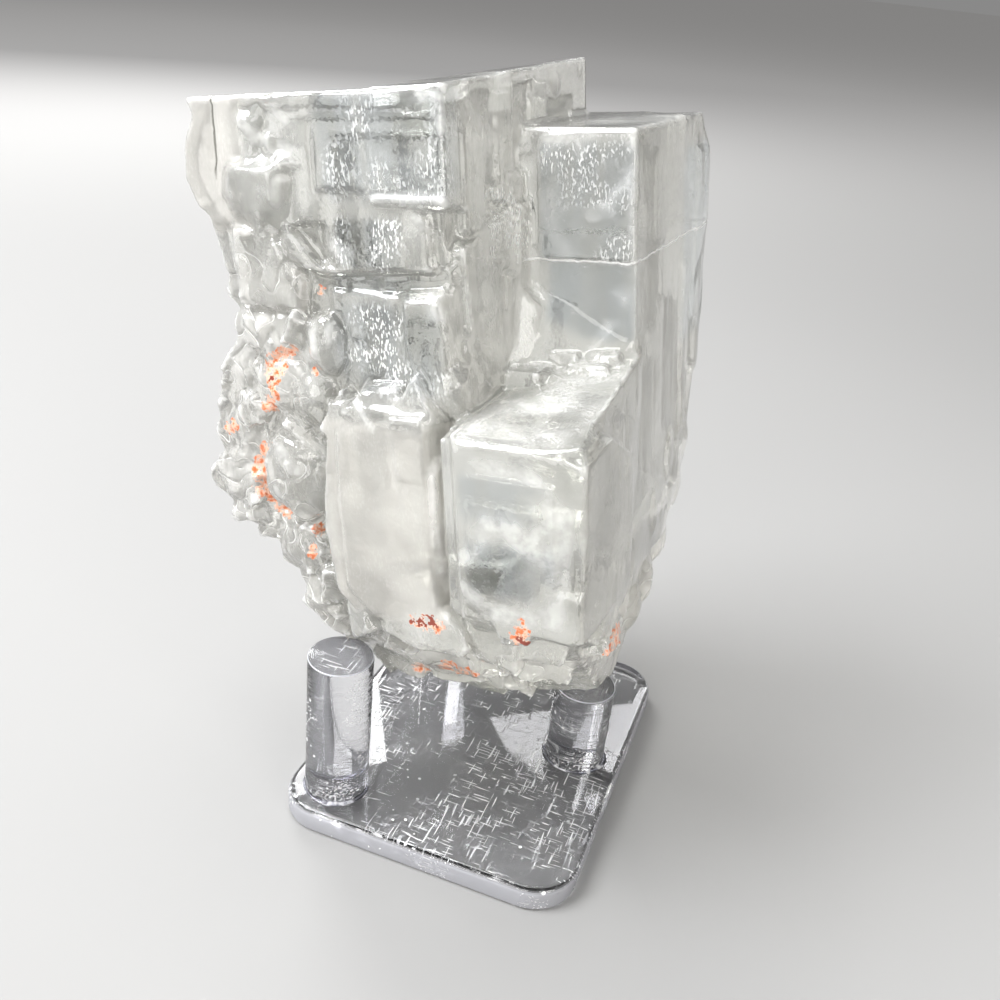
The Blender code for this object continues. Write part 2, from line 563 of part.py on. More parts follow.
def underside_teeth(bm, rng):
    """Broken corners along the lower rim, and lumps on the lower right-hand side."""
    rim = (
        (-38, -22, 18), (-34, -18, 11), (-36, -13, 6.5), (-30, -13, 6), (-24, -11, 6), (-17, -8, 4.4),
        (-10, -7, 4),
    )
    for u, v, w in rim:
        stub(bm, rng, (u, v, w + 2.2), rng.uniform(5, 7.5))
    front = ((-30, -30.4, 27), (-24, -30.0, 24), (11, -27, 31))
    for u, v, w in front:
        stub(bm, rng, (u, v, w + 1.0), rng.uniform(4.5, 7))
    beak = (
        (-25.7, 27.8), (-22.6, 26.8), (-18.6, 25.6), (-12.2, 25.1), (-9.7, 25.5), (-8.4, 27.3),
        (-9.6, 31.2), (-11.7, 33.3), (-16, 38), (-24, 34),
    )
    prism(bm, beak, -34.7, -28, inset=0.7)
    # the shelf's front ends in a hanging ledge with a step in it
    left_ledge = ((-0.2, 32.1), (4.8, 33.3), (5.2, 36), (5.0, 42), (-1, 42), (-2.2, 37))
    right_ledge = ((5.0, 35.2), (10.1, 36.2), (12.7, 35.3), (13.6, 36.6), (13.8, 44), (4, 44))
    prism(bm, left_ledge, -38.0, -26, inset=0.5)
    prism(bm, right_ledge, -38.0, -26, inset=0.5)
    teeth = (
        ((-33.2, 10.6), (-31.5, 9.0), (-29.4, 8.5), (-26.5, 8.9), (-25.2, 10.2), (-25, 18), (-33.5, 18)),
        ((-24.2, 10.4), (-22.6, 9.4), (-19.7, 10.4), (-14.7, 11.2), (-12.5, 10.8), (-12, 20), (-24, 20)),
        ((-11.8, 10.8), (-10.5, 9.9), (-6.3, 10.5), (-3.6, 11.8), (-3, 20), (-12, 20)),
    )
    for outline in teeth:
        prism(bm, outline, -21.0, -14, inset=0.8)
    for u, v, w, size in (
        (-4, -27.0, 28.4, 10.0), (4.6, -25.5, 28.8, 9.4), (7.6, -18, 26.6, 8.6), (-9, -24, 23.6, 9.5),
        (0, -19, 21.6, 10.0), (-15, -22, 21.2, 9.0), (6.2, -11, 21.2, 8.5),
    ):
        stub(bm, rng, (u, v, w), size, tilt=16)
    for u, v, w, radii in (
        (5.8, 22, 28, (4.6, 6.6, 7.6)), (5.6, 13.5, 21.5, (4.6, 6.4, 7.6)), (5.6, 6, 19, (4.4, 5.5, 7.0)),
        (6.2, -2, 24, (4.0, 5.2, 6.4)), (4.6, -8.5, 20.5, (4.4, 4.8, 5.6)), (7.4, 28, 38, (3.8, 5.8, 7.8)),
        (7.6, 32, 47, (3.6, 5.0, 8.0)), (7.8, 10, 38, (4.0, 5.4, 8.6)), (8.6, 20, 47, (3.0, 5.0, 9.0)),
    ):
        pebble(bm, (u, v, w), radii)


def back_steps(bm, rng):
    """The far side: stepped cube corners of several sizes."""
    block(bm, (-28, -11), (20, 33), (62, 104))
    block(bm, (-38, -22), (16, 29), (54, 96))
    block(bm, (-18, 4), (30, 38.5), (44, 74))
    block(bm, (-44, -30), (12, 23), (60, 100))
    block(bm, (-50, -38), (4, 15), (66, 90))
    block(bm, (-30, -16), (28, 35.5), (68, 86))
    for _ in range(18):
        size = rng.uniform(8, 14)
        place = (rng.uniform(-44, -6), rng.uniform(23, 30), rng.uniform(34, 98))
        stub(bm, rng, place, size, tilt=6)
    for _ in range(12):
        size = rng.uniform(7, 11)
        place = (rng.uniform(-51, -46), rng.uniform(-16, 14), rng.uniform(58, 112))
        stub(bm, rng, place, size, tilt=10)


def peg_cutter(name, place, top):
    """A peg with its clearance, which keeps the crystals off the stand."""
    bm = bmesh.new()
    bmesh.ops.create_cone(
        bm,
        cap_ends=True,
        segments=PEG_SIDES,
        radius1=(PEG_DIAMETER / 2 + GAP) * MM,
        radius2=(PEG_DIAMETER / 2 + GAP) * MM,
        depth=(top + GAP) * MM,
        matrix=Matrix.Translation((place[0] * MM, place[1] * MM, (top + GAP) / 2 * MM)),
    )
    cutter = add_object(name, bm, bpy.data.materials.new(name))
    cutter.hide_render = True
    cutter.display_type = "WIRE"
    return cutter


def build_crystals():
    rng = random.Random(SEED)
    bm = bmesh.new()
    tall_crystal(bm)
    window_crystal(bm)
    slope_ledges(bm)
    shelf_crystal(bm)
    apron_crystal(bm)
    lower_body(bm)
    left_flank(bm, rng)
    underside_teeth(bm, rng)
    back_steps(bm, rng)
    bmesh.ops.recalc_face_normals(bm, faces=bm.faces)
    look = finish_material("clear fluorite", (0.86, 0.86, 0.83), 0.18, 0.9, 1.434)
    cluster = add_object("fluorite_cluster", bm, look)
    cluster.location = Vector(CRYSTAL_SEAT) * MM
    cluster.rotation_euler = Euler([math.radians(angle) for angle in CRYSTAL_TURN])
    union = cluster.modifiers.new("grown together", "REMESH")
    union.mode = "VOXEL"
    union.voxel_size = UNION_VOXEL * MM
    fewer = cluster.modifiers.new("fewer faces", "DECIMATE")
    fewer.ratio = KEPT_FACES
    for name, place, top in (
        ("clear_of_tall_front", (TALL_PEG_X, -TALL_PEG_Y), TALL_PEG_TOP),
        ("clear_of_tall_back", (TALL_PEG_X, TALL_PEG_Y), TALL_PEG_TOP),
        ("clear_of_short", SHORT_PEG_XY, SHORT_PEG_TOP),
    ):
        cut = cluster.modifiers.new(name, "BOOLEAN")
        cut.operation = "DIFFERENCE"
        cut.object = peg_cutter(name, place, top)
    return cluster


def main():
    clear_scene()
    build_stand()
    build_crystals()


main()
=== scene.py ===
"""Looks of a clear to milky cluster of stepped cubic crystals on a clear acrylic peg stand.

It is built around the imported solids, in metres, +Z up. The crystals are laid out in millimetres in
a frame of their own: u to the right and v to the back along the cube faces, w up the long edges.
"""

import math
import random
from types import SimpleNamespace

import bmesh
import bpy
import numpy as np
from mathutils import Euler, Matrix, Vector


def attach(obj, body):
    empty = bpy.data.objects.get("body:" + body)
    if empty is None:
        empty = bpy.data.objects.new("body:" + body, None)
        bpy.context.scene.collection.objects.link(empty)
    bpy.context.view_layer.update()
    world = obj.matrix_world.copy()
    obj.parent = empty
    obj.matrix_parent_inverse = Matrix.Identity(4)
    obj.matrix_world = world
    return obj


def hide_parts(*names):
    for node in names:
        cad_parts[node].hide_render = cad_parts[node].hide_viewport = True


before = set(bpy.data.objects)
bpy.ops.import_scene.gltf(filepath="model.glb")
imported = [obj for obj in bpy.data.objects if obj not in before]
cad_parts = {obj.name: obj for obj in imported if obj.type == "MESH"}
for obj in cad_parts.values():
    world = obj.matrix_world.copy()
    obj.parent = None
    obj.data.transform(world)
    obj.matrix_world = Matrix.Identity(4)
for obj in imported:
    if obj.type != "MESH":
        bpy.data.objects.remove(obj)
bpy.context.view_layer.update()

MM = 0.001

# Stand, as in the solids, in millimetres
PLATE_SIZE = (61.5, 78.0, 5.0)
PLATE_CORNER = 9.0
PLATE_TOP_ROUND = 1.6
PLATE_FOOT_ROUND = 0.4
PEG_RADIUS = 6.35
PEG_CHAMFER = 0.5
PEG_SIDES = 128
# each peg: its place on the plate, and the height of its top
PEGS = {
    "peg_tall_front": (-21.4, -29.3, 37.0),
    "peg_tall_back": (-21.4, 29.3, 37.0),
    "peg_short": (20.5, 1.2, 24.0),
}
GLUE_DEPTH = 0.05
GLUE_BEAD = 0.55
GLUE_STEPS = 5
# the crystals' gap to the pegs, the plate's gap to the floor, and what keeps two skins apart
GAP = 0.3
FLOOR_GAP = 0.3
HAIR = 0.01

# Crystal frame on the stand: millimetres and degrees
CRYSTAL_SEAT = (20.7, -1.5, 24.3)
CRYSTAL_TURN = (-1.0, -8.7, -4.5)

# Main faces of the crystals, in the crystal frame
TALL_FRONT = -29.0
TALL_RIGHT = -10.7
TALL_BACK = 30.5
WINDOW_FRONT = -3.3
WINDOW_RIGHT = 10.4
WINDOW_BACK = 41.0
WINDOW_TOP = 110.8
SHELF_TOP = 68.0
SHELF_FRONT = -37.5
SHELF_RIGHT = 14.4
SHELF_LEFT = -11.2
APRON_FRONT = -34.0
APRON_TOP = 68.5

# Broken cubes: half sides and reach of the corners, as shares of the size. Pebbles: the turn from
# one corner to the next.
STUB_SIDES = (0.38, 0.62)
STUB_CORNERS = (0.85, 1.1)
GOLDEN_ANGLE = math.radians(137.5)

# The crystals' fine skin: side of its voxels in millimetres, and its triangles before the pegs' cuts
SURFACE_VOXEL = 0.62
MOST_TRIANGLES = 188000
SEED = 11


# ---------------------------------------------------------------- meshes


def add_object(name, data):
    obj = bpy.data.objects.new(name, data)
    bpy.context.scene.collection.objects.link(obj)
    return obj


def from_bmesh(name, bm):
    """An object made of what the bmesh holds, which is freed."""
    mesh = bpy.data.meshes.new(name)
    bm.to_mesh(mesh)
    bm.free()
    return add_object(name, mesh)


def mesh_of(obj):
    """A copy of the object's mesh with its modifiers applied."""
    graph = bpy.context.evaluated_depsgraph_get()
    return bpy.data.meshes.new_from_object(obj.evaluated_get(graph))


def apply_modifiers(obj):
    mesh = mesh_of(obj)
    obj.modifiers.clear()
    obj.data = mesh


def cylinder(radius, height, x=0.0, y=0.0):
    """A bmesh with an upright cylinder that stands on the level z = 0, in millimetres."""
    bm = bmesh.new()
    bmesh.ops.create_cone(
        bm, cap_ends=True, segments=PEG_SIDES, radius1=radius * MM, radius2=radius * MM,
        depth=height * MM, matrix=Matrix.Translation((x * MM, y * MM, height / 2 * MM)),
    )
    return bm


def radians(angles):
    return [math.radians(angle) for angle in angles]


# ---------------------------------------------------------------- shapes


def hull(bm, points):
    """One closed convex lump through the given corners, in millimetres."""
    corners = [bm.verts.new(Vector(point) * MM) for point in points]
    made = bmesh.ops.convex_hull(bm, input=corners)
    spare = {item for key in ("geom_interior", "geom_unused") for item in made[key]}
    loose = [item for item in spare if isinstance(item, bmesh.types.BMVert)]
    bmesh.ops.delete(bm, geom=loose, context="VERTS")


def block(bm, u, v, w):
    """An upright box. u, v and w each give its two ends along one axis."""
    hull(bm, [(a, b, c) for a in u for b in v for c in w])


def prism(bm, outline, front, back, inset=0.0):
    """A convex slab behind a (u, w) outline. inset narrows its front edge into a bevel."""
    mid_u = sum(u for u, _ in outline) / len(outline)
    mid_w = sum(w for _, w in outline) / len(outline)
    points = []
    for u, w in outline:
        reach = max(math.hypot(u - mid_u, w - mid_w), 0.01)
        keep = max(1 - inset / reach, 0.2)
        points.append((mid_u + (u - mid_u) * keep, front, mid_w + (w - mid_w) * keep))
        points.append((u, front + inset, w))
        points.append((u, back, w))
    hull(bm, points)


def stub(bm, rng, centre, size, tilt=35.0):
    """A small broken cube, tilted off the main faces so that a corner stands out."""
    turn = Euler(radians(rng.uniform(-tilt, tilt) for _ in range(3))).to_matrix()
    half = [size * rng.uniform(*STUB_SIDES) for _ in range(3)]
    corners = []
    for a in (-1, 1):
        for b in (-1, 1):
            for c in (-1, 1):
                corner = Vector((a * half[0], b * half[1], c * half[2])) * rng.uniform(*STUB_CORNERS)
                corners.append(Vector(centre) + turn @ corner)
    hull(bm, corners)


def pebble(bm, centre, radii, corners=48):
    """A rounded, water-worn lump."""
    points = []
    for index in range(corners):
        height = 1 - 2 * (index + 0.5) / corners
        angle = index * GOLDEN_ANGLE
        ring = math.sqrt(1 - height * height)
        swell = 1 + 0.04 * math.sin(5 * index)
        way = (ring * math.cos(angle) * swell, ring * math.sin(angle) * swell, height * swell)
        points.append(Vector(centre) + Vector(side * radius for side, radius in zip(way, radii)))
    hull(bm, points)


def tall_top(bm, front, right):
    """The top of the highest crystal, with the leaf at its left end."""
    hull(bm, [
        (-52, front, 117.6), (right, front, 118.5), (right, -20, 118), (-52, -20, 116.6),
        (right, front, 101.5), (right, -20, 100), (-54, front, 98.5), (-54, -20, 97),
        (-47, front, 97), (-30, front, 101.5),
    ])
    # the leaf at the left end, with a notch in its edge
    leaf = (
        (-56.8, 115), (-50, 116), (-50, 98), (-55.3, 97.9), (-56.6, 98.2), (-58, 100),
        (-59.2, 101.4), (-60.4, 104.6), (-60, 108.8), (-58.9, 111.7),
    )
    prism(bm, leaf, front, -22)
    prism(bm, ((-58, 117.3), (-50, 117.6), (-50, 110), (-57, 114.2)), front, -22)
    # the top falls back to the left in broken terraces
    for left, v, w in (
        (-53, (-24, -6), (88, 115)), (-50, (-10, 9), (88, 112.6)), (-46, (5, 19), (86, 109)),
        (-37, (15, 26), (86, 114.2)),
    ):
        block(bm, (left, right - 1), v, w)
    # the right-hand strip of the top stands higher, and rises a little towards the back
    hull(bm, [
        (-23, front, 118.5), (right, front, 118.9), (right, TALL_BACK, 121),
        (-12.5, TALL_BACK, 120.9), (-21, front, 108), (right, front, 108), (right, TALL_BACK, 90),
        (-14, TALL_BACK, 90),
    ])


def tall_courses(bm, front, right):
    """The flat front of the highest crystal, stepped back a little at each of its ledges."""
    # first course: a pillowed face, with its upper and right-hand edges rounded over
    face = ((-34.6, 103.2), (-34, 116.6), (-32, 118), (-12.2, 118.6), (-11, 117.4), (-11, 103.6))
    prism(bm, face, front - 0.7, -24, inset=0.9)
    block(bm, (-40, right - 1.8), (front + 1.6, 20), (88.5, 103))
    # a lip along the foot of the first course
    hull(bm, [
        (-25, front - 0.1, 103.6), (right - 0.2, front - 0.1, 104), (-24, front - 1.3, 102.2),
        (right - 0.1, front - 1.3, 102.2), (-23, front, 101.3), (right - 0.1, front, 101.2),
        (-20, -24, 104), (right - 0.3, -24, 104),
    ])
    # second course, inside the first
    course = (
        (-33.6, 92.4), (-33.9, 99.8), (-32, 100.9), (-16, 101), (-14.4, 99.6), (-14.4, 92.6),
        (-24, 91.6),
    )
    prism(bm, course, front - 0.1, -20, inset=0.9)
    block(bm, (-30.9, -19.8), (front - 0.3, -20), (92.6, 98.6))
    # third course
    block(bm, (-38, right - 0.6), (front + 1.8, 20), (60, 92))
    hull(bm, [
        (-36, front - 0.2, 91.2), (-14.5, front - 0.1, 92.5), (-36, front - 0.1, 90.2),
        (-14.5, front, 91.6), (-36, -24, 92), (-12.5, -24, 93), (-36, -24, 89), (-12.5, -24, 90),
    ])
    block(bm, (-34, -12), (front + 0.6, 20), (70, 87.4))
    hull(bm, [
        (-30, front + 0.4, 84), (-12.6, front + 0.4, 88.6), (-12.6, front + 0.4, 74),
        (-34, front + 0.4, 76), (-31, front + 0.4, 71), (-30, -22, 84), (-12.6, -22, 88.6),
        (-12.6, -22, 74), (-34, -22, 76), (-31, -22, 71),
    ])


def tall_side(bm, right):
    """The right side of the highest crystal, in courses under a row of knobs."""
    # knobs along the upper side face, leaving hollows between them
    knobs = (
        (-21.5, 112.5, 4.5), (-15.5, 109, 4), (-9.5, 113, 4), (-3.5, 110.5, 3.6), (14, 117, 3.2),
    )
    for v, w, tall in knobs:
        pebble(bm, (right - 0.9, v, w), (1.7, 3, tall))
    # side courses, each standing out from the one above
    block(bm, (-30, right + 0.7), (-24, -17), (97, 113))
    block(bm, (-30, right + 0.5), (-12, -6), (100, 116.5))
    block(bm, (-30, right + 0.45), (2, 9), (108, 117))
    hull(bm, [
        (-30, -6, 108), (right + 1, -6, 98), (right + 1, -17.3, 96.2), (right + 1, -26.4, 94.6),
        (-30, -28, 93.5), (right + 1, 2, 97), (-30, 2, 108), (-30, -27, 72),
        (right + 1, -23, 72), (right + 1.2, 2, 66), (-30, 2, 66),
    ])
    block(bm, (-30, right + 2), (-12, 2), (66, 88))
    block(bm, (-30, right + 1.5), (-22, -16), (70, 83))


def tall_foot(bm, front):
    """The rounded foot of the highest crystal, hanging over the shelf."""
    hull(bm, [
        (-17, front - 0.5, 73), (-12.5, front - 0.8, 75), (-9.2, -27, 75), (-9, -22, 76),
        (-16, front, 70), (-12, front, 68.4), (-10, -26, 67.8), (-9.4, -20, 67), (-20, -20, 72),
        (-20, front + 2, 80), (-11.5, front - 0.4, 80), (-9.6, -24, 82), (-13.5, front - 1, 71),
    ])
    hull(bm, [
        (-9.6, -27, 80), (-8.4, -24, 74), (-8.6, -14, 72), (-9.8, -12, 80), (-9.2, -26, 68.2),
        (-9, -16, 67.2), (-14, -26, 76), (-14, -14, 76),
    ])
    lobe = (
        (-19.5, 88), (-12.4, 88.4), (-11.2, 82), (-11, 74), (-12.4, 69.6), (-15.4, 69.2),
        (-18, 72), (-20, 80),
    )
    prism(bm, lobe, front - 1.4, -24, inset=1.5)
    pebble(bm, (-12.6, -26.6, 72.6), (4, 4.6, 5.6))


def tall_crystal(bm):
    """The highest crystal of the group."""
    tall_top(bm, TALL_FRONT, TALL_RIGHT)
    tall_courses(bm, TALL_FRONT, TALL_RIGHT)
    tall_side(bm, TALL_RIGHT)
    tall_foot(bm, TALL_FRONT)


def window_crystal(bm):
    """The tall right-hand crystal, set back, whose front is the large clear face."""
    front, right = WINDOW_FRONT, WINDOW_RIGHT
    hull(bm, [
        (-16, front, WINDOW_TOP), (right - 0.4, front, WINDOW_TOP),
        (right, front + 0.4, WINDOW_TOP - 0.3), (right, 38, WINDOW_TOP),
        (8, WINDOW_BACK, WINDOW_TOP - 0.6), (-16, 35, WINDOW_TOP),
        (right, 43.5, 103), (right, 44.5, 88), (-16, 37, 88), (8, 45.5, 92), (-16, front, 30),
        (right + 0.8, front, 30), (right, 36.5, 52), (right, 33, 42), (-16, 33, 40), (right, 20, 29),
    ])
    # the clear face stands a little proud of the corner beside it
    plate = (
        (-6.3, 89.4), (-6.3, 109.2), (-5.6, 110.2), (right - 0.8, 110.4), (right, 109.6),
        (right, 89.4),
    )
    prism(bm, plate, front - 0.5, 5, inset=0.5)
    lower = ((-6, 82), (-3.4, 77), (0, 75), (right - 0.4, 75.4), (right - 0.2, 89.2), (-6, 89.2))
    prism(bm, lower, front - 0.35, 5, inset=0.4)
    # upright ribs near the far right-hand edge
    block(bm, (0, right + 0.8), (33, 37.5), (72, 104))
    block(bm, (0, right + 0.7), (26, 29), (50, 84))
    block(bm, (0, right + 0.4), (30, 41), (60, 96))
    # broken corner between the tall crystal's side and the clear face
    block(bm, (-14, -8.6), (-7.5, 2), (80, 99))
    block(bm, (-14, -9.4), (-9, 2), (74, 104))
    # a rough slope fills the corner between the window's foot and the shelf
    hull(bm, [
        (-12, front - 1, 86), (-6.5, front - 1, 83.4), (-3.5, front - 1, 78), (-0.7, front - 1, 75.4),
        (4.4, front - 0.8, 74.4), (9.8, front - 0.6, 75.6), (-12, -13, 71), (-4, -11, 70), (5, -9, 70),
        (9.5, -6, 70), (-12, 4, 86), (9, 4, 74), (-12, 4, 60), (9, 4, 60), (-12, -13, 60), (9, -6, 60),
    ])
    hull(bm, [
        (-12, -8, 87), (-8.4, -8.2, 85.5), (-7.6, -9.6, 78), (-8.6, -13, 71), (-13, -15, 71),
        (-5.6, -6.4, 82), (-5, -9.6, 72), (-12, 2, 86), (-5, 2, 78), (-12, 2, 66), (-5, 0, 66),
    ])


def slope_ledges(bm):
    """Small level ledges on the rough slope between the window's foot and the shelf."""
    for u, v, w in (
        ((-5, 4), (-14, -4), (66, 71.8)), ((1, 8), (-11, -3), (66, 73.4)),
        ((-8, -2), (-16, -6), (66, 72.6)), ((4, 9), (-8, -3), (66, 74.6)),
        ((-3, 2), (-9, -3), (66, 74.4)),
    ):
        block(bm, u, v, w)


def shelf_crystal(bm):
    """The low crystal that stands out in front, with a flat top like a shelf."""
    front, left, right = SHELF_FRONT, SHELF_LEFT, SHELF_RIGHT
    hull(bm, [
        (left + 3.4, front, SHELF_TOP - 1.6), (4.5, front, SHELF_TOP - 1),
        (right - 5, front, SHELF_TOP - 2), (right - 3.4, front, SHELF_TOP - 5),
        (left + 3, front + 1, SHELF_TOP - 0.4), (right - 4, front + 1, SHELF_TOP - 0.4),
        (left + 2, front + 2, SHELF_TOP), (right - 2, front + 2, SHELF_TOP),
        (left, 0, SHELF_TOP + 1.5), (right - 3, 0, SHELF_TOP + 6),
        (left + 3.6, front, 36), (right - 2.4, front, 34.8), (left, 0, 30), (right - 3.5, -5, 27),
        (right - 1.6, -24, 28.5), (left + 3, -28, 28),
    ])
    # the right-hand corner column, rounded off at its top
    hull(bm, [
        (right - 0.4, front + 0.4, SHELF_TOP - 2.4), (right - 4, front + 0.4, SHELF_TOP - 1.6),
        (right - 1, front + 3, SHELF_TOP - 0.4), (right - 6, front + 3, SHELF_TOP),
        (right - 0.6, front + 0.4, 35), (right - 6, front + 0.4, 35), (right - 1, -28, SHELF_TOP),
        (right - 6, -28, SHELF_TOP), (right - 1, -28, 34), (right - 6, -28, 34),
    ])
    # the outer course of its right-hand side
    hull(bm, [
        (right, front + 1, SHELF_TOP - 2.4), (right, -25, SHELF_TOP - 1.4), (right, -14.5, 60),
        (right, -14, 47), (right - 0.4, -13, 34), (right - 0.6, front + 1, 35),
        (0, front + 1, SHELF_TOP - 2.4), (0, -25, SHELF_TOP - 0.4), (0, -14.5, 60), (0, -14, 47),
        (0, -13, 34), (0, front + 1, 35),
    ])
    # the left edge of the front, bevelled back by two small steps
    hull(bm, [
        (left, front + 2.6, 66.5), (left + 5, front + 1, 66), (left, front + 2.4, 36),
        (left + 5, front + 1, 34), (left, -20, 68.5), (left + 5, -20, 68.5), (left, -20, 30),
        (left + 5, -20, 30),
    ])
    # low steps on the flat top
    block(bm, (-7, 11), (-30, -10), (60, SHELF_TOP + 0.7))
    block(bm, (-6, 9), (-22, -8), (60, SHELF_TOP + 1.7))
    block(bm, (-8.6, 2), (-33, -20), (60, SHELF_TOP + 0.35))
    # thin plates on the front
    block(bm, (-5.5, 9.5), (front - 0.35, -30), (38.5, 62))
    block(bm, (-3.5, 6), (front - 0.6, -30), (42, 56))


def apron_crystal(bm):
    """The smooth low crystal at the left front, rounded off at its foot."""
    front = APRON_FRONT
    hull(bm, [
        (-33.5, front + 1, APRON_TOP + 1), (-24, front, APRON_TOP - 3), (-22, front, APRON_TOP + 1),
        (-13.5, front + 1.2, APRON_TOP + 1.5), (-36, front, 46), (-34.5, front, 34), (-28, front + 0.4, 27),
        (-19, front + 0.4, 25.6), (-14.6, front + 0.8, 31), (-38, -20, 66), (-13.5, -20, 72),
        (-38, -20, 30), (-13, -20, 26),
    ])
    panel = (
        (-29.5, 66.4), (-14.4, 69.6), (-13.4, 66), (-13.2, 33), (-17, 29.5), (-27, 29.6), (-32, 35),
        (-32, 60), (-31.4, 65),
    )
    prism(bm, panel, front - 0.7, -20, inset=0.9)
    rib = ((-20.6, 69), (-14.6, 69), (-14.4, 58), (-19.8, 58))
    prism(bm, rib, front - 1.1, -20, inset=0.5)
    # the rounded lobe at its lower right-hand corner
    lobe = (
        (-11.4, 43.2), (-12, 38.4), (-14, 34.9), (-17, 33.2), (-21.5, 32.6), (-25, 34.6),
        (-25.6, 40), (-22, 52), (-17, 62), (-12.4, 62),
    )
    prism(bm, lobe, front - 0.8, -20, inset=2.6)
    # three broken points along its upper edge
    for u, w in ((-31.5, 72), (-23.5, 73), (-17, 76)):
        hull(bm, [
            (u, front + 2, w), (u - 4.5, front + 0.6, w - 8), (u + 4, front + 0.6, w - 7.5),
            (u - 4, -22, w - 8), (u + 4, -22, w - 8), (u, -24, w - 1),
        ])
    hull(bm, [
        (-27.3, front + 2.2, 72.2), (-20.4, front + 2.2, 72.8), (-21.8, front - 0.2, 66.8),
        (-26.6, front - 0.2, 66.2), (-30.2, front, 68.4), (-27, -24, 73), (-20, -24, 73), (-26, -24, 60),
    ])


def lower_body(bm):
    """The broken underside, falling back from the front ledges to the lowest corner."""
    hull(bm, [
        (-44, -22, 98), (-12, -22, 98), (-44, 22, 95), (-12, 26, 95),
        (-48, -22, 40), (-12, -22, 30), (-46, 22, 26), (-12, 30, 30),
    ])
    # under the shelf and down to the corner that sits on the short peg
    hull(bm, [
        (-12, -31, 36), (11, -31, 35), (-12, -28, 26), (9, -26, 26), (7, -4, 16), (7.5, 8, 16),
        (8, 18, 22), (-12, 26, 22), (4.5, -4, 4), (4, 7, 0.5), (-8, 8, 2), (-7, -6, 2.2),
        (-14, -7, 0.5), (-18, 4, 3), (10, 28, 36), (10, 0, 60),
    ])
    # left-hand keel between the tall pegs
    hull(bm, [
        (-12, -31, 29), (-33, -31.5, 31), (-44.2, -24.4, 27), (-41.8, -24.4, 19.4), (-31, -25.5, 18.8),
        (-22, -26, 16.4), (-12, -23, 15.2), (-39, -14, 6.4), (-26, -13, 6.2), (-14, -8, 0.2), (-30, 2, 5),
        (-40, 8, 10), (-14, 8, 4), (-42, 17, 20), (-14, 20, 18), (-46, -16, 36), (-12, 0, 50),
    ])
    # heel that rests on the hidden tall peg
    hull(bm, [
        (-49, 18, 20.6), (-34, 18, 20.2), (-49, 30, 24), (-34, 31, 22), (-48, 28, 45), (-20, 30, 50),
        (-46, 14, 60), (-20, 14, 30), (-20, 30, 26),
    ])
    block(bm, (-34, 4), (10, 33), (36, 88))


def flank_edge(w):
    """How far the broken left edge reaches at the height w."""
    edge = (
        (20, -40.5), (24, -44), (32, -47), (38, -51), (40, -56), (48, -64), (60, -62), (70, -59),
        (78, -55), (98, -56),
    )
    for (low, start), (high, end) in zip(edge[:-1], edge[1:]):
        if w <= high:
            return start + (end - start) * (w - low) / (high - low)
    return edge[-1][1]


def flank_flakes(bm, rng):
    """The body of the ragged left side, and flakes whose broken corners make its outline."""
    hull(bm, [
        (-51, -26, 95), (-34, -26, 95), (-49, -26, 74), (-34, -27, 70), (-47, 14, 92), (-34, 14, 92),
        (-54, -25, 64), (-56, -24, 50), (-52, -24, 41), (-34, -28, 38), (-50, 14, 44), (-34, 14, 40),
        (-47, -24, 34), (-38, -26, 30),
    ])
    flakes = (
        ((-57, 97.8), (-55.5, 94.9), (-54.8, 91.8), (-55, 88.1), (-46, 87), (-46, 99)),
        ((-55, 89), (-56.3, 86), (-55.6, 84.6), (-54.2, 82.6), (-46, 81), (-46, 89)),
        ((-54.2, 83), (-55.3, 80.5), (-55, 76.6), (-46, 75), (-46, 83)),
        ((-55, 77.2), (-56.5, 74.1), (-59.4, 71.8), (-59.1, 71.1), (-46, 68), (-46, 77)),
        ((-59.1, 71.3), (-59.7, 68.5), (-60.4, 68.1), (-60.1, 66.5), (-46, 65), (-46, 71.5)),
        ((-60.1, 67.2), (-61.3, 63.8), (-61.9, 61.1), (-62.6, 58.8), (-61.1, 55.5), (-47, 54), (-47, 67)),
        ((-61.1, 56), (-63.7, 52.6), (-63, 50), (-50, 50), (-50, 56)),
        ((-64.6, 51.6), (-65.7, 50.8), (-65.7, 49.2), (-65, 47.6), (-62.2, 45.4), (-50, 44), (-50, 52)),
        ((-62.4, 46.2), (-61.8, 43.9), (-62.7, 40.6), (-57.8, 40.6), (-54.8, 42.9), (-48, 46)),
        ((-55.2, 43.4), (-56.7, 40.2), (-56, 38.5), (-51, 37.9), (-46, 39), (-46, 45)),
        ((-51, 38.6), (-50.9, 34.4), (-46.8, 33), (-42, 33), (-42, 40)),
        ((-47.2, 34), (-47.9, 31.9), (-46.5, 29), (-41, 28), (-41, 34)),
        ((-46.5, 29.6), (-48.1, 26), (-44.7, 24.6), (-40.6, 20.4), (-37, 20), (-37, 30)),
    )
    for outline in flakes:
        front = rng.uniform(-28.6, -27.6)
        prism(bm, outline, front, -22, inset=rng.uniform(0.5, 1.1))
        shrunk = [(u + 2.5, w - 0.5) for u, w in outline]
        prism(bm, shrunk, -24, -15)


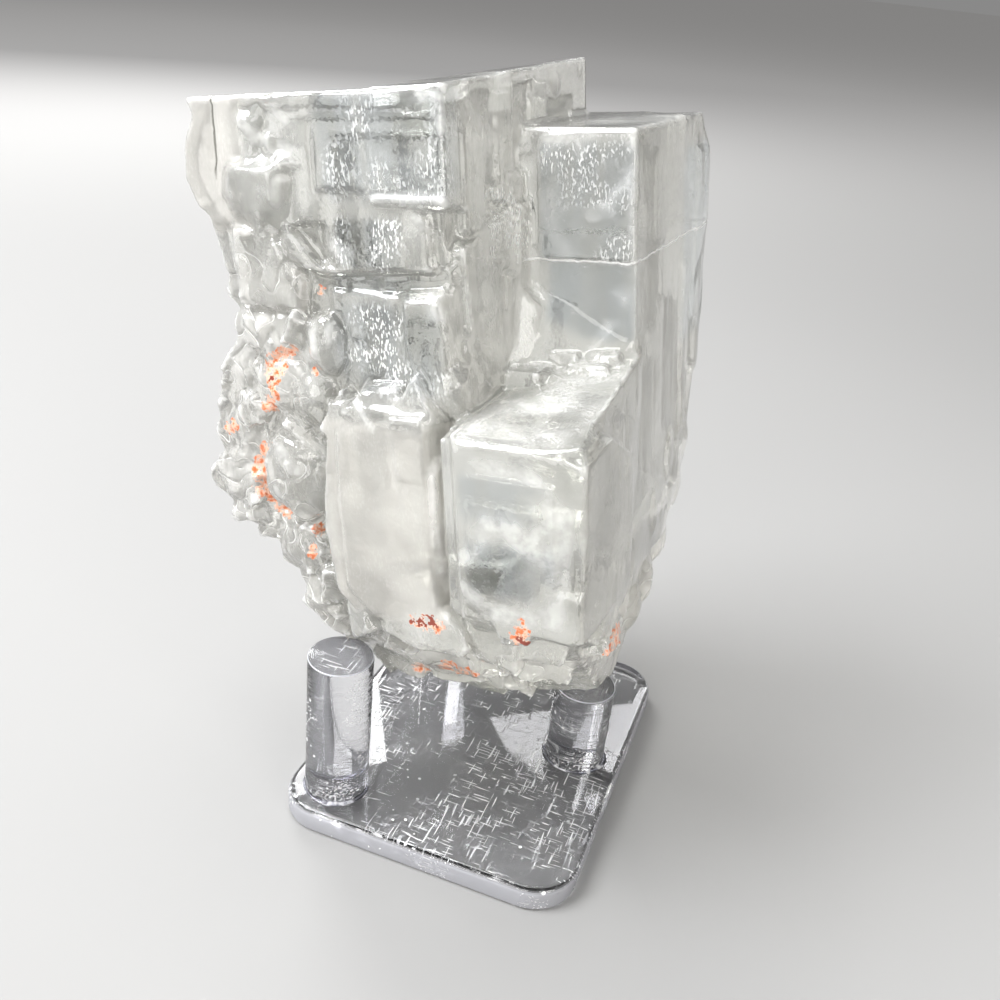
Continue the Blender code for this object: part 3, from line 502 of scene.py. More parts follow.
def flank_lumps(bm, rng):
    """Smooth worn lumps on the front of the left side."""
    hull(bm, [
        (-50.4, -29, 108.2), (-39.3, -29, 108.6), (-38.6, -29, 105.1), (-40.1, -29, 99.4),
        (-44.3, -29, 95.4), (-49.9, -29, 97.6), (-53.2, -29, 102.3), (-52.2, -29, 106.4),
        (-48.6, -31.8, 106.6),
        (-41.6, -31.9, 106.2), (-41.4, -31.6, 102), (-44.6, -31.4, 98.8), (-50.4, -31.2, 102.4),
        (-50, -24, 108), (-39, -24, 108), (-44, -24, 96), (-52.6, -24, 102),
    ])
    for _ in range(16):
        place = (rng.uniform(-46.5, -38.5), -28.3, rng.uniform(104, 114.5))
        stub(bm, rng, place, rng.uniform(1.8, 3), tilt=45)
    column = (
        (-51.6, 97.6), (-45, 98.2), (-41, 94.4), (-38.6, 88.6), (-39.6, 84.2), (-52.2, 83.2),
        (-52, 90),
    )
    prism(bm, column, -30.2, -24, inset=1.2)
    ridge = ((-41.2, 98.3), (-38.4, 93.9), (-34.6, 91), (-37.5, 90.4), (-42, 94))
    prism(bm, ridge, -29.6, -24, inset=0.6)
    prism(bm, ((-52.4, 82.6), (-46.4, 83), (-46, 76), (-52, 76.4)), -29.8, -24, inset=0.8)
    prism(bm, ((-45.6, 82.8), (-42.2, 83), (-41.6, 77.4), (-45, 76.2)), -29.2, -24, inset=0.8)
    for centre, radii in (
        ((-34.9, -28.6, 78.4), (3.5, 3.2, 5.6)), ((-40.4, -28, 80.4), (2.4, 3, 3.6)),
        ((-43.8, -28.6, 53.4), (7.6, 4.6, 9)), ((-44, -27.6, 70), (7, 3.6, 6)),
        ((-38.2, -28.4, 69), (4.2, 3.6, 5)), ((-54.5, -26.4, 61.5), (6, 3.2, 6)),
        ((-56.5, -26.2, 49.2), (7, 3.4, 5.4)), ((-44.5, -27.4, 38.5), (6, 3.6, 5)),
        ((-42.4, -27.4, 29.5), (3.6, 3.4, 6)),
    ):
        pebble(bm, centre, radii)


def flank_corners(bm, rng):
    """Small broken corners over the left side, and larger ones further back."""
    for _ in range(70):
        w = rng.uniform(26, 82)
        u = rng.uniform(flank_edge(w) + 4.5, -38)
        stub(bm, rng, (u, rng.uniform(-28.4, -26.8), w), rng.uniform(2.4, 4.8), tilt=45)
    for row in range(15):
        w = 94 - row * 4.6
        reach = -47 - 9 * math.exp(-((w - 54) / 16) ** 2)
        for depth in (-18, -9, 0, 9):
            u = reach + rng.uniform(0, 4) + (depth + 18) * 0.18
            v = depth + rng.uniform(-3, 3)
            stub(bm, rng, (u, v, w + rng.uniform(-2, 2)), rng.uniform(6.5, 10))


def left_flank(bm, rng):
    """The ragged left side of the group."""
    flank_flakes(bm, rng)
    flank_lumps(bm, rng)
    flank_corners(bm, rng)


def underside_teeth(bm, rng):
    """Broken corners along the lower rim, and lumps on the lower right-hand side."""
    rim = (
        (-38, -22, 18), (-34, -18, 11), (-36, -13, 6.5), (-30, -13, 6), (-24, -11, 6), (-17, -8, 4.4),
        (-10, -7, 4),
    )
    for u, v, w in rim:
        stub(bm, rng, (u, v, w + 2.2), rng.uniform(5, 7.5))
    front = ((-30, -30.4, 27), (-24, -30, 24), (11, -27, 31))
    for u, v, w in front:
        stub(bm, rng, (u, v, w + 1), rng.uniform(4.5, 7))
    beak = (
        (-25.7, 27.8), (-22.6, 26.8), (-18.6, 25.6), (-12.2, 25.1), (-9.7, 25.5), (-8.4, 27.3),
        (-9.6, 31.2), (-11.7, 33.3), (-16, 38), (-24, 34),
    )
    prism(bm, beak, -34.7, -28, inset=0.7)
    # the shelf's front ends in a hanging ledge with a step in it
    left_ledge = ((-0.2, 32.1), (4.8, 33.3), (5.2, 36), (5, 42), (-1, 42), (-2.2, 37))
    right_ledge = ((5, 35.2), (10.1, 36.2), (12.7, 35.3), (13.6, 36.6), (13.8, 44), (4, 44))
    prism(bm, left_ledge, -38, -26, inset=0.5)
    prism(bm, right_ledge, -38, -26, inset=0.5)
    teeth = (
        ((-33.2, 10.6), (-31.5, 9), (-29.4, 8.5), (-26.5, 8.9), (-25.2, 10.2), (-25, 18), (-33.5, 18)),
        ((-24.2, 10.4), (-22.6, 9.4), (-19.7, 10.4), (-14.7, 11.2), (-12.5, 10.8), (-12, 20), (-24, 20)),
        ((-11.8, 10.8), (-10.5, 9.9), (-6.3, 10.5), (-3.6, 11.8), (-3, 20), (-12, 20)),
    )
    for outline in teeth:
        prism(bm, outline, -21, -14, inset=0.8)
    for u, v, w, size in (
        (-4, -27, 28.4, 10), (4.6, -25.5, 28.8, 9.4), (7.6, -18, 26.6, 8.6), (-9, -24, 23.6, 9.5),
        (0, -19, 21.6, 10), (-15, -22, 21.2, 9), (6.2, -11, 21.2, 8.5),
    ):
        stub(bm, rng, (u, v, w), size, tilt=16)
    for u, v, w, radii in (
        (5.8, 22, 28, (4.6, 6.6, 7.6)), (5.6, 13.5, 21.5, (4.6, 6.4, 7.6)), (5.6, 6, 19, (4.4, 5.5, 7)),
        (6.2, -2, 24, (4, 5.2, 6.4)), (4.6, -8.5, 20.5, (4.4, 4.8, 5.6)), (7.4, 28, 38, (3.8, 5.8, 7.8)),
        (7.6, 32, 47, (3.6, 5, 8)), (7.8, 10, 38, (4, 5.4, 8.6)), (8.6, 20, 47, (3, 5, 9)),
    ):
        pebble(bm, (u, v, w), radii)


def back_steps(bm, rng):
    """The far side: stepped cube corners of several sizes."""
    for u, v, w in (
        ((-28, -11), (20, 33), (62, 104)), ((-38, -22), (16, 29), (54, 96)),
        ((-18, 4), (30, 38.5), (44, 74)), ((-44, -30), (12, 23), (60, 100)),
        ((-50, -38), (4, 15), (66, 90)), ((-30, -16), (28, 35.5), (68, 86)),
    ):
        block(bm, u, v, w)
    for _ in range(18):
        size = rng.uniform(8, 14)
        place = (rng.uniform(-44, -6), rng.uniform(23, 30), rng.uniform(34, 98))
        stub(bm, rng, place, size, tilt=6)
    for _ in range(12):
        size = rng.uniform(7, 11)
        place = (rng.uniform(-51, -46), rng.uniform(-16, 14), rng.uniform(58, 112))
        stub(bm, rng, place, size, tilt=10)


# ---------------------------------------------------------------- surface relief and marks

# Relief of the skin: height and wavelength in millimetres, and the seed of its noise
RELIEF = {
    "swell": (0.34, 6.5, 3),
    "ripple": (0.14, 2.9, 5),
    "upright_lines": (0.07, 1.9, 7),
    "level_lines": (0.08, 1.7, 9),
    "far_edge": (0.45, 4.6, 23),
    "crust": (0.22, 1.9, 13),
}
# Worn facets of the ragged parts: level of their middle, height, wavelength, seed
FACETS = ((0.22, 0.75, 5.2, 17), (0.12, 0.42, 2.6, 19))
CRUST_RISE = 0.12
# Where the ragged left flank ends, to the right and upward, and where the underside ends, upward
FLANK_RELIEF = ((-44, -38), (97, 104))
FOOT_RELIEF = (24, 34)
FLANK_PAINT = ((-42, -36), (88, 100))
FOOT_PAINT = (22, 32)
# How far depth counts against height where the distance to a path is measured
DEPTH_SHARE = 0.35
# Etching of the faces outside the etched parts
PLAIN_ETCH = 0.06

# Parts of the skin with a character of their own: low corner, high corner, soft edge
AREAS = {
    "far_edge": ((4, 26, 30), (16, 50, 112), 6.0),
    "crust": ((-47, -34, 103), (-37.5, -26, 117), 1.5),
    "leaf": ((-62, -30, 97), (-48, -20, 118), 2.5),
    "apron": ((-34, -40, 32), (-13, -28, 66), 2.5),
    "crack": ((-15, -6, 87), (14, 46, 92), 1.0),
    "leaf_crack": ((-56, -31, 105.6), (-50, -27, 117.4), 0.8),
}


def lattice_value(cell, seed):
    """A repeatable random number from -1 to 1 for each whole-number cell, by integer hashing."""
    word = cell[:, 0] * 73856093 ^ cell[:, 1] * 19349663 ^ cell[:, 2] * 83492791 ^ seed * 2654435761
    word = (word ^ (word >> 13)) * 1274126177 & 0xFFFFFFFF
    word = (word ^ (word >> 16)) * 2246822519 & 0xFFFFFFFF
    return ((word >> 8) & 0xFFFF) / 32767.5 - 1.0


def soft_noise(points, wavelength, seed):
    """Smooth value noise from about -1 to 1 at the given wavelength, in the points' own unit."""
    scaled = points / wavelength
    base = np.floor(scaled).astype(np.int64)
    part = scaled - base
    part = part * part * part * (part * (part * 6 - 15) + 10)
    total = np.zeros(len(points))
    for corner in range(8):
        step = np.array([corner & 1, corner >> 1 & 1, corner >> 2 & 1])
        weight = np.prod(np.where(step, part, 1 - part), axis=1)
        total += weight * lattice_value(base + step, seed)
    return total


def smooth_step(value, low, high):
    share = np.clip((value - low) / (high - low), 0, 1)
    return share * share * (3 - 2 * share)


def flank_share(points, sides, heights):
    """1 on the left flank, falling to 0 across the ranges given for its right and upper edge."""
    return (1 - smooth_step(points[:, 0], *sides)) * (1 - smooth_step(points[:, 2], *heights))


def foot_share(points, heights):
    return 1 - smooth_step(points[:, 2], *heights)


def inside(points, low, high, soft):
    """1 well inside the box from low to high, falling to 0 over the soft distance at its sides."""
    share = np.ones(len(points))
    for axis in range(3):
        share *= smooth_step(points[:, axis], low[axis] - soft, low[axis])
        share *= 1 - smooth_step(points[:, axis], high[axis], high[axis] + soft)
    return share


def along(points, path, width):
    """1 on the path, falling to 0 at the given distance from it. Depth counts for less than height."""
    nearest = np.full(len(points), np.inf)
    squeeze = np.array([1.0, DEPTH_SHARE, 1.0])
    points = points * squeeze
    path = np.array(path, float) * squeeze
    if len(path) == 1:
        path = np.repeat(path, 2, axis=0)
    for start, end in zip(path[:-1], path[1:]):
        way = end - start
        length = max(float(way @ way), 1e-9)
        share = np.clip((points - start) @ way / length, 0, 1)
        gap = np.linalg.norm(points - start - share[:, None] * way, axis=1)
        nearest = np.minimum(nearest, gap)
    return 1 - smooth_step(nearest, 0.25 * width, width)


def vectors(mesh, name):
    """One vector for each of the mesh's points: its place, co, or its normal."""
    flat = np.empty(len(mesh.vertices) * 3)
    mesh.vertices.foreach_get(name, flat)
    return flat.reshape(-1, 3)


def crystal_frame():
    turn = Euler(radians(CRYSTAL_TURN))
    return Matrix.Translation(Vector(CRYSTAL_SEAT) * MM) @ turn.to_matrix().to_4x4()


def bare_crystals():
    """All crystals grown into one closed skin of small faces."""
    rng = random.Random(SEED)
    bm = bmesh.new()
    for crystal in (
        tall_crystal, window_crystal, slope_ledges, shelf_crystal, apron_crystal, lower_body,
    ):
        crystal(bm)
    for broken_part in (left_flank, underside_teeth, back_steps):
        broken_part(bm, rng)
    bmesh.ops.recalc_face_normals(bm, faces=bm.faces)
    lumps = from_bmesh("crystal_lumps", bm)
    union = lumps.modifiers.new("grown together", "REMESH")
    union.mode = "VOXEL"
    union.voxel_size = SURFACE_VOXEL * MM
    skin = mesh_of(lumps)
    bpy.data.objects.remove(lumps, do_unlink=True)
    return skin


def relief(mesh):
    """Moves the skin in and out: waves on broken parts, growth lines on flat faces."""
    points = vectors(mesh, "co") / MM
    normals = vectors(mesh, "normal")
    broken = 1 - smooth_step(np.abs(normals).max(axis=1), 0.90, 0.995)
    flank = flank_share(points, *FLANK_RELIEF)
    foot = foot_share(points, FOOT_RELIEF)
    rough = np.clip(0.18 + 0.35 * broken + 0.6 * np.maximum(flank, foot), 0, 1)
    ragged = np.maximum(flank, 0.45 * foot)

    def wave(name, weight, stretch=(1.0, 1.0, 1.0)):
        height, wavelength, seed = RELIEF[name]
        return height * weight * soft_noise(points * np.array(stretch), wavelength, seed)

    push = wave("swell", rough)
    for level, height, wavelength, seed in FACETS:
        push += ragged * (level - height * np.abs(soft_noise(points, wavelength, seed)))
    push += wave("ripple", rough)
    push += wave("upright_lines", 1 - broken, (1.0, 1.0, 0.12)) * np.abs(normals[:, 0])
    push += wave("level_lines", 1 - broken, (0.15, 1.0, 1.0)) * np.abs(normals[:, 2])
    push += wave("far_edge", inside(points, *AREAS["far_edge"]), (1.0, 1.0, 0.5))
    push += inside(points, *AREAS["crust"]) * (wave("crust", 1.0) + CRUST_RISE)
    for path, width, depth in GROOVES:
        push -= depth * along(points, path, width)
    points = points + normals * push[:, None]
    mesh.vertices.foreach_set("co", (points * MM).ravel())
    mesh.update()


def thin_out(crystals):
    """Fewer faces where the skin is flat, as many as one piece may hold in all."""
    crystals.data.calc_loop_triangles()
    fewer = crystals.modifiers.new("fewer faces", "DECIMATE")
    fewer.ratio = min(1.0, MOST_TRIANGLES / len(crystals.data.loop_triangles))
    apply_modifiers(crystals)


def cut_peg_clearance(crystals):
    """Keeps the crystals a hair off the pegs that carry them."""
    cutters = []
    for name, (x, y, top) in PEGS.items():
        cutter = from_bmesh(name + "_clearance", cylinder(PEG_RADIUS + GAP, top + GAP, x, y))
        cut = crystals.modifiers.new(name, "BOOLEAN")
        cut.operation = "DIFFERENCE"
        cut.solver = "MANIFOLD"
        cut.object = cutter
        cutters.append(cutter)
    bpy.context.view_layer.update()
    apply_modifiers(crystals)
    for cutter in cutters:
        bpy.data.objects.remove(cutter, do_unlink=True)


GROOVES = (
    # cracks and creases: path, half width, depth
    (((-52.9, -29, 116.2), (-53.1, -29, 112.4), (-53.6, -29, 107.4)), 0.9, 0.45),
    (((-37.6, -29.5, 98.4), (-35.2, -29.5, 95), (-32.4, -29.5, 91.6)), 1, 0.35),
    (((-44, -30.5, 95.8), (-46.8, -30.5, 97), (-49, -30.5, 98.6)), 0.9, 0.35),
    (((-22, -34.5, 62), (-21, -34.5, 57)), 0.8, 0.25),
    (((-13.6, -35, 66), (-13.8, -35, 48), (-13.2, -35, 34)), 1.2, 0.35),
)
STAINS = (
    # rust in the hollows of the left flank
    (((-42.3, -28.8, 77), (-44.8, -29, 75.6), (-47.8, -29.2, 73.4)), 1.9),
    (((-44.4, -29.7, 73.8), (-46.4, -30.3, 71), (-47.2, -29.9, 72.2)), 1.8),
    (((-46.4, -30.3, 71), (-45.8, -30.8, 68.9), (-48, -30, 66.8), (-47.3, -29.9, 65.8)), 1.5),
    (((-37.2, -29.9, 73.8),), 1.1),
    (((-36.6, -27.4, 87.2), (-36.6, -27.2, 86.4)), 1.1),
    (((-59, -28.8, 60.4), (-57.6, -29.1, 60.4), (-56.8, -29.4, 61.7)), 1.5),
    (((-51, -28.6, 57.9), (-52.2, -28.5, 55.9), (-53.2, -29, 53)), 1.5),
    (((-53.2, -29, 53), (-52.4, -29, 51), (-51.7, -28.7, 48.7), (-53, -29.1, 49.8)), 1.7),
    (((-51.7, -28.7, 48.7), (-50.9, -28, 45.6), (-48.3, -27.4, 44.4)), 1.3),
    (((-41.2, -28.9, 43.4), (-40.8, -28.4, 42.1)), 1),
    (((-41.9, -30.1, 39.6), (-42.1, -30.3, 38)), 1.2),
    # around the dark granules at the foot of the apron, and on the ledge beside it
    (((-17.6, -34.7, 31.4), (-13.9, -34.7, 31.4)), 1.9),
    (((4, -38, 36.9), (3.8, -38, 35.6), (3, -38, 34.2)), 1.4),
    (((4, -38, 34.4), (2, -38, 33.8)), 1.1),
    # along the lower rim
    (((-27, -20.9, 11.6), (-25.4, -20.9, 11.8)), 1.7),
    (((-19.1, -24, 15.2), (-17.2, -25.6, 17.4)), 2.2),
    (((-17.4, -22.6, 14.1), (-14.5, -25.2, 16), (-11, -27.9, 17.9)), 1.6),
    (((13, -17.1, 26.9), (13.4, -19, 25.3), (13.5, -22.6, 24.9)), 1.7),
)
DARK_STAINS = (
    (((-17.8, -34.7, 31.6), (-16.5, -34.7, 31.4), (-15, -34.7, 31.9)), 1.25),
    (((3.4, -38, 34.3), (4.2, -38, 33.6)), 0.9),
    (((-46.6, -30.3, 71.6),), 0.9),
)
VEILS = (
    # white patches in and on the faces: path, width, strength
    (((-46.5, -30, 114), (-44, -30, 111), (-39, -30, 109.5)), 1.6, 0.6),
    (((-42, -30, 116.5), (-38.5, -30, 114)), 1.2, 0.4),
    (((-50.5, -32, 106), (-49.5, -32, 102.5)), 1.2, 0.35),
    (((-40.2, -32, 105), (-41, -32, 100.5)), 1, 0.6),
    (((-2.8, -38, 64), (3, -38, 64.2), (7.5, -38, 62.4), (10, -38, 58.6)), 1.8, 0.5),
    (((-1.6, -38, 54.1), (1.9, -38, 55.2), (4.4, -38, 51.6), (7.7, -38, 50.2)), 3, 0.62),
    (((-7.3, -38, 46.8), (-5.4, -38, 49), (-3, -38, 52.8), (0.5, -38, 54.8)), 2.3, 0.6),
    (((5.2, -38, 52.6), (10.3, -38, 56.2)), 2, 0.6),
    (((-6.8, -38, 42), (-2.5, -38, 38.5), (4.5, -38, 38)), 2.2, 0.6),
    (((10.5, -38, 58), (10, -38, 46), (9, -38, 39)), 2.6, 0.5),
    (((-6.5, -35, 69), (2, -34, 69), (9, -34, 69)), 2, 0.5),
    (((-4, -24, 70), (6, -22, 70)), 1.8, 0.5),
    (((-0.2, -4, 94.5), (3.6, -4, 97.6), (8.5, -4, 102)), 1.3, 0.75),
    (((9.2, -4, 84.5), (6.6, -4, 79.5), (3.8, -4, 74.8)), 1.5, 0.55),
    (((-5.5, -4, 108.6), (3, -4, 109.2)), 1.3, 0.6),
    (((9.8, -4, 109), (9.9, -4, 92)), 1.2, 0.55),
    (((-5.2, -4, 100), (-4.6, -4, 94), (-2, -4, 91)), 2.4, 0.45),
    (((-14.5, -30, 117.2), (-11.5, -30, 117), (-11.2, -30, 112)), 1.2, 0.8),
    (((-26, -31, 102.9), (-18, -31, 103), (-11.3, -31, 102.9)), 0.9, 0.9),
    (((-16.5, -29.5, 99.5), (-14.6, -29.5, 97)), 1.2, 0.6),
    (((-30, -29.5, 93), (-31.5, -29.5, 95)), 1.8, 0.5),
    (((-15, -29, 88), (-12.8, -29, 85)), 1.6, 0.5),
    (((-36.6, -31.5, 81.5), (-36.4, -31.5, 77)), 1.8, 0.7),
    (((-33.2, -31.5, 82), (-33, -31.5, 79)), 1.2, 0.6),
    (((-45.5, -32.5, 58.5), (-42, -32.5, 56)), 2.2, 0.55),
    (((-46.5, -33, 51.5), (-46, -33, 49)), 1.4, 0.55),
    (((-13.4, -35, 62), (-13.8, -35, 50), (-13.2, -35, 42)), 1.2, 0.5),
    (((-28, -33, 70.5), (-24, -34, 66.5)), 0.9, 0.8),
)
CLEAR_SHADED_WINDOWS = (
    # glassy windows, with painted shade for the dark seen through them: low corner, high corner, soft edge,
    # strength
    ((-31, -31, 104.6), (-12.5, -27, 116), 4, 0.85),
    ((-30, -31, 92.6), (-20.5, -27, 98), 2, 0.9),
    ((-33, -31, 87.6), (-18, -26, 89.6), 1.2, 0.8),
    ((-31, -31, 74), (-15, -27, 84), 3.5, 0.85),
    ((-5.6, -5, 90.2), (9.4, -2, 107.6), 1.6, 0.8),
    ((-4, -5, 77), (9.6, -2, 88.6), 1.6, 1),
    ((-4.6, -39, 43.5), (4, -36, 49.6), 2.6, 1),
    ((-6, -39, 56), (4.5, -36, 61), 2.2, 0.65),
    ((4.5, -39, 46), (8.5, -36, 50), 1.6, 0.5),
    ((9.5, 27, 70), (12, 42, 104), 2.5, 0.7),
)
ETCHED = (
    # finely pitted and scratched parts of the faces
    ((-30.9, -31, 104), (-12, -27, 115), 4, 0.7),
    ((-30.9, -31, 92), (-19.8, -27, 98.4), 2, 1),
    ((-30, -31, 73), (-13, -27, 84), 3, 0.9),
    ((-5.5, -5, 97), (9.2, -2, 107.4), 2, 1),
    ((2.5, -5, 90), (9.6, -2, 93.7), 1.5, 0.8),
    ((-16, -16, 90), (-7, -5, 104), 2, 0.7),
    ((-6, -34, 60), (10, -8, 72), 2, 0.5),
)


def ridges_of(mesh, points, normals):
    """How sharply the skin bends at each point: above 0 on ridges, below 0 in creases."""
    ends = np.empty(len(mesh.edges) * 2, np.int64)
    mesh.edges.foreach_get("vertices", ends)
    ends = ends.reshape(-1, 2)
    way = points[ends[:, 1]] - points[ends[:, 0]]
    length = np.maximum(np.linalg.norm(way, axis=1), 1e-6)
    bend = np.zeros(len(points))
    weight = np.zeros(len(points))
    for first, sign in ((0, -1.0), (1, 1.0)):
        own = ends[:, first]
        drop = sign * (way * normals[own]).sum(axis=1) / length
        bend += np.bincount(own, drop, len(points))
        weight += np.bincount(own, minlength=len(points))
    bend = bend / np.maximum(weight, 1)
    for _ in range(2):
        spread = np.bincount(ends[:, 0], bend[ends[:, 1]], len(points))
        spread += np.bincount(ends[:, 1], bend[ends[:, 0]], len(points))
        bend = 0.5 * bend + 0.5 * spread / np.maximum(weight, 1)
    return bend


PAINTED = {
    # what is painted on the points, up to three values to an attribute
    # the crease value paints shade into the creases
    # the ridge value paints highlights along the ridges
    "form": ("ridge", "crease_shade", "ragged"),
    # the clear value makes the windows clearer and paints shade into them
    "haze": ("veil", "clear", "milky"),
    "marks": ("etch", "crack", "leaf_crack"),
    "rust": ("stain", "dark_stain"),
}


def strongest(shape, points, marks, least=0.0):
    """The strongest of several marks at each point. A mark ends with its strength."""
    value = np.full(len(points), least)
    for *form, strength in marks:
        value = np.maximum(value, strength * shape(points, *form))
    return value


def painted_values(points, normals, bend):
    """Where the faces are clear, milky, etched, cracked, worn or stained, and where highlights and shade
    are painted.
    """
    side = smooth_step(normals[:, 0], 0.6, 0.95)
    names = ("leaf", "apron", "crack", "leaf_crack")
    area = {name: inside(points, *AREAS[name]) for name in names}
    flank = flank_share(points, *FLANK_PAINT)
    foot = foot_share(points, FOOT_PAINT)
    milky = 0.45 * side + 0.7 * area["leaf"] + 0.85 * area["apron"] + 0.4 * flank + 0.45 * foot
    return {
        # painted highlight: white along ridges, stronger on the left flank
        "ridge": smooth_step(bend, 0.05, 0.22) * (1 + 0.6 * flank),
        # painted shade: darker in the creases, where the skin bends inward
        "crease_shade": smooth_step(-bend, 0.05, 0.22),
        "ragged": np.clip(flank + 0.5 * foot, 0, 1),
        "veil": strongest(along, points, VEILS),
        # clear windows: clearer glass, with painted shade for the dark seen through them
        "clear": strongest(inside, points, CLEAR_SHADED_WINDOWS),
        "milky": np.clip(milky, 0, 1),
        "etch": strongest(inside, points, ETCHED, PLAIN_ETCH),
        "crack": area["crack"],
        "leaf_crack": area["leaf_crack"],
        "stain": strongest(along, points, [(*mark, 1.0) for mark in STAINS]),
        "dark_stain": strongest(along, points, [(*mark, 1.0) for mark in DARK_STAINS]),
    }


def paint(mesh):
    """Writes the painted values on the mesh's points."""
    back = np.array(crystal_frame().inverted())
    points = (vectors(mesh, "co") @ back[:3, :3].T + back[:3, 3]) / MM
    normals = vectors(mesh, "normal") @ back[:3, :3].T
    values = painted_values(points, normals, ridges_of(mesh, points, normals))
    for title, names in PAINTED.items():
        packed = np.zeros((len(points), 3), np.float32)
        for column, name in enumerate(names):
            packed[:, column] = values[name]
        mesh.attributes.new(title, "FLOAT_VECTOR", "POINT").data.foreach_set("vector", packed.ravel())


# ---------------------------------------------------------------- materials


class Nodes:
    """Short ways to add and link shader nodes."""

    def __init__(self, name):
        self.material = bpy.data.materials.new(name)
        self.material.use_nodes = True
        self.tree = self.material.node_tree
        self.shader = self.tree.nodes["Principled BSDF"]
        self.painted = {}

    def feed(self, node, inputs):
        """Links a socket to each input, or sets a constant there. A colour comes without alpha."""
        for name, value in inputs.items():
            target = node.inputs[name]
            if isinstance(value, bpy.types.NodeSocket):
                self.tree.links.new(value, target)
            elif target.type == "RGBA":
                target.default_value = (*value, 1.0)
            else:
                target.default_value = value

    def new(self, kind, inputs=None, **settings):
        node = self.tree.nodes.new("ShaderNode" + kind)
        for key, value in settings.items():
            setattr(node, key, value)
        self.feed(node, inputs or {})
        return node

    def math(self, operation, *values, clamp=False):
        node = self.new("Math", dict(enumerate(values)), operation=operation, use_clamp=clamp)
        return node.outputs[0]

    def times(self, first, *others):
        """The product of the values."""
        for value in others:
            first = self.math("MULTIPLY", first, value)
        return first

    def most(self, first, *others):
        """The largest of the values."""
        for value in others:
            first = self.math("MAXIMUM", first, value)
        return first

    def blend(self, factor, first, second):
        """A colour between the first and the second."""
        return self.new("Mix", {0: factor, 6: first, 7: second}, data_type="RGBA").outputs[2]

    def ramp(self, value, low, high, to_low=0.0, to_high=1.0):
        """A soft step from to_low to to_high, as the value goes from low to high."""
        inputs = dict(enumerate((value, low, high, to_low, to_high)))
        return self.new("MapRange", inputs, interpolation_type="SMOOTHSTEP").outputs[0]

    def object_place(self):
        return self.new("TexCoord").outputs["Object"]

    def place(self, stretch=(1.0, 1.0, 1.0), turn=(0.0, 0.0, 0.0)):
        """Object coordinates in millimetres, stretched and turned."""
        scale = [side / MM for side in stretch]
        inputs = {"Vector": self.object_place(), "Scale": scale, "Rotation": turn}
        return self.new("Mapping", inputs).outputs[0]

    def crystal_place(self, stretch=(1.0, 1.0, 1.0), turn=(0.0, 0.0, 0.0)):
        """Coordinates in the crystals' own frame, in millimetres, stretched and turned."""
        inputs = {
            "Vector": self.object_place(), "Location": [side * MM for side in CRYSTAL_SEAT],
            "Rotation": radians(CRYSTAL_TURN), "Scale": (MM, MM, MM),
        }
        own = self.new("Mapping", inputs, vector_type="TEXTURE").outputs[0]
        inputs = {"Vector": own, "Scale": stretch, "Rotation": turn}
        return self.new("Mapping", inputs).outputs[0]

    def noise(self, vector, scale, detail=0.0, roughness=0.5):
        """Noise about 0.5. The scale is in waves to a millimetre."""
        inputs = {"Vector": vector, "Scale": scale, "Detail": detail, "Roughness": roughness}
        return self.new("TexNoise", inputs).outputs["Fac"]

    def axis(self, vector, name):
        return self.new("SeparateXYZ", {0: vector}).outputs[name]

    def facing_up(self):
        """The upward share of the face's own direction, from -1 to 1."""
        return self.axis(self.new("NewGeometry").outputs["True Normal"], "Z")

    def value(self, name):
        """One of the values that paint() wrote."""
        title = next(title for title, names in PAINTED.items() if name in names)
        if title not in self.painted:
            source = self.new("Attribute", attribute_name=title).outputs["Vector"]
            self.painted[title] = self.new("SeparateXYZ", {0: source})
        return self.painted[title].outputs[PAINTED[title].index(name)]

    def bump(self, height, distance, strength):
        inputs = {"Height": height, "Distance": distance, "Strength": strength}
        return self.new("Bump", inputs).outputs[0]

    def absorb(self, color, density):
        volume = self.new("VolumeAbsorption", {"Color": color, "Density": density})
        self.feed(self.tree.nodes["Material Output"], {"Volume": volume.outputs[0]})


# The crystal's colours, from its clear body to its stains, with painted shade for creases and clear windows
COOL = (0.925, 0.93, 0.905)
MILKY = (0.84, 0.815, 0.765)
# painted shade: the dark seen through the clear windows
SEEN_THROUGH_SHADE = (0.71, 0.77, 0.83)
STREAK = (0.84, 0.835, 0.79)
# painted shade laid into the creases
CREASE_SHADE = (0.60, 0.61, 0.58)
WHITE = (0.98, 0.98, 0.97)
PALE_RUST = (0.93, 0.55, 0.40)
DEEP_RUST = (0.74, 0.18, 0.06)
DARK_STAIN = (0.26, 0.05, 0.03)
OPEN_CRACK = (0.12, 0.12, 0.10)
# The stand's colours
ACRYLIC = (0.975, 0.975, 0.99)
FROST = (0.86, 0.865, 0.93)
DUST = (0.97, 0.97, 0.97)
GLUE_FILM = (0.80, 0.80, 0.90)
GLUE_BLOTCH = (0.95, 0.95, 0.97)
FLOOR_NEAR = (0.30, 0.298, 0.294)
FLOOR_FAR = (0.92, 0.91, 0.90)

# Absorption inside the clear bodies: colour and density
CRYSTAL_DEPTH = ((0.785, 0.785, 0.75), 26.0)
ACRYLIC_DEPTH = ((0.90, 0.90, 0.98), 8.0)
FLUORITE_IOR = 1.434
ACRYLIC_IOR = 1.49
GLUE_IOR = 1.47

# The healed crack's level, and the open crack's lean and foot, in the crystal frame
CRACK_LEVEL = 89.4
LEAF_CRACK_LEAN = 0.08
LEAF_CRACK_FOOT = -62.5


def healed_crack(n, s):
    """A thin white line, level across the window crystal."""
    level = n.math("MULTIPLY_ADD", s.patch, 1.2, CRACK_LEVEL - 0.6)
    gap = n.math("ABSOLUTE", n.math("SUBTRACT", n.axis(s.place, "Z"), level))
    return n.times(n.ramp(gap, 0.10, 0.30, 1.0, 0.0), n.value("crack"))


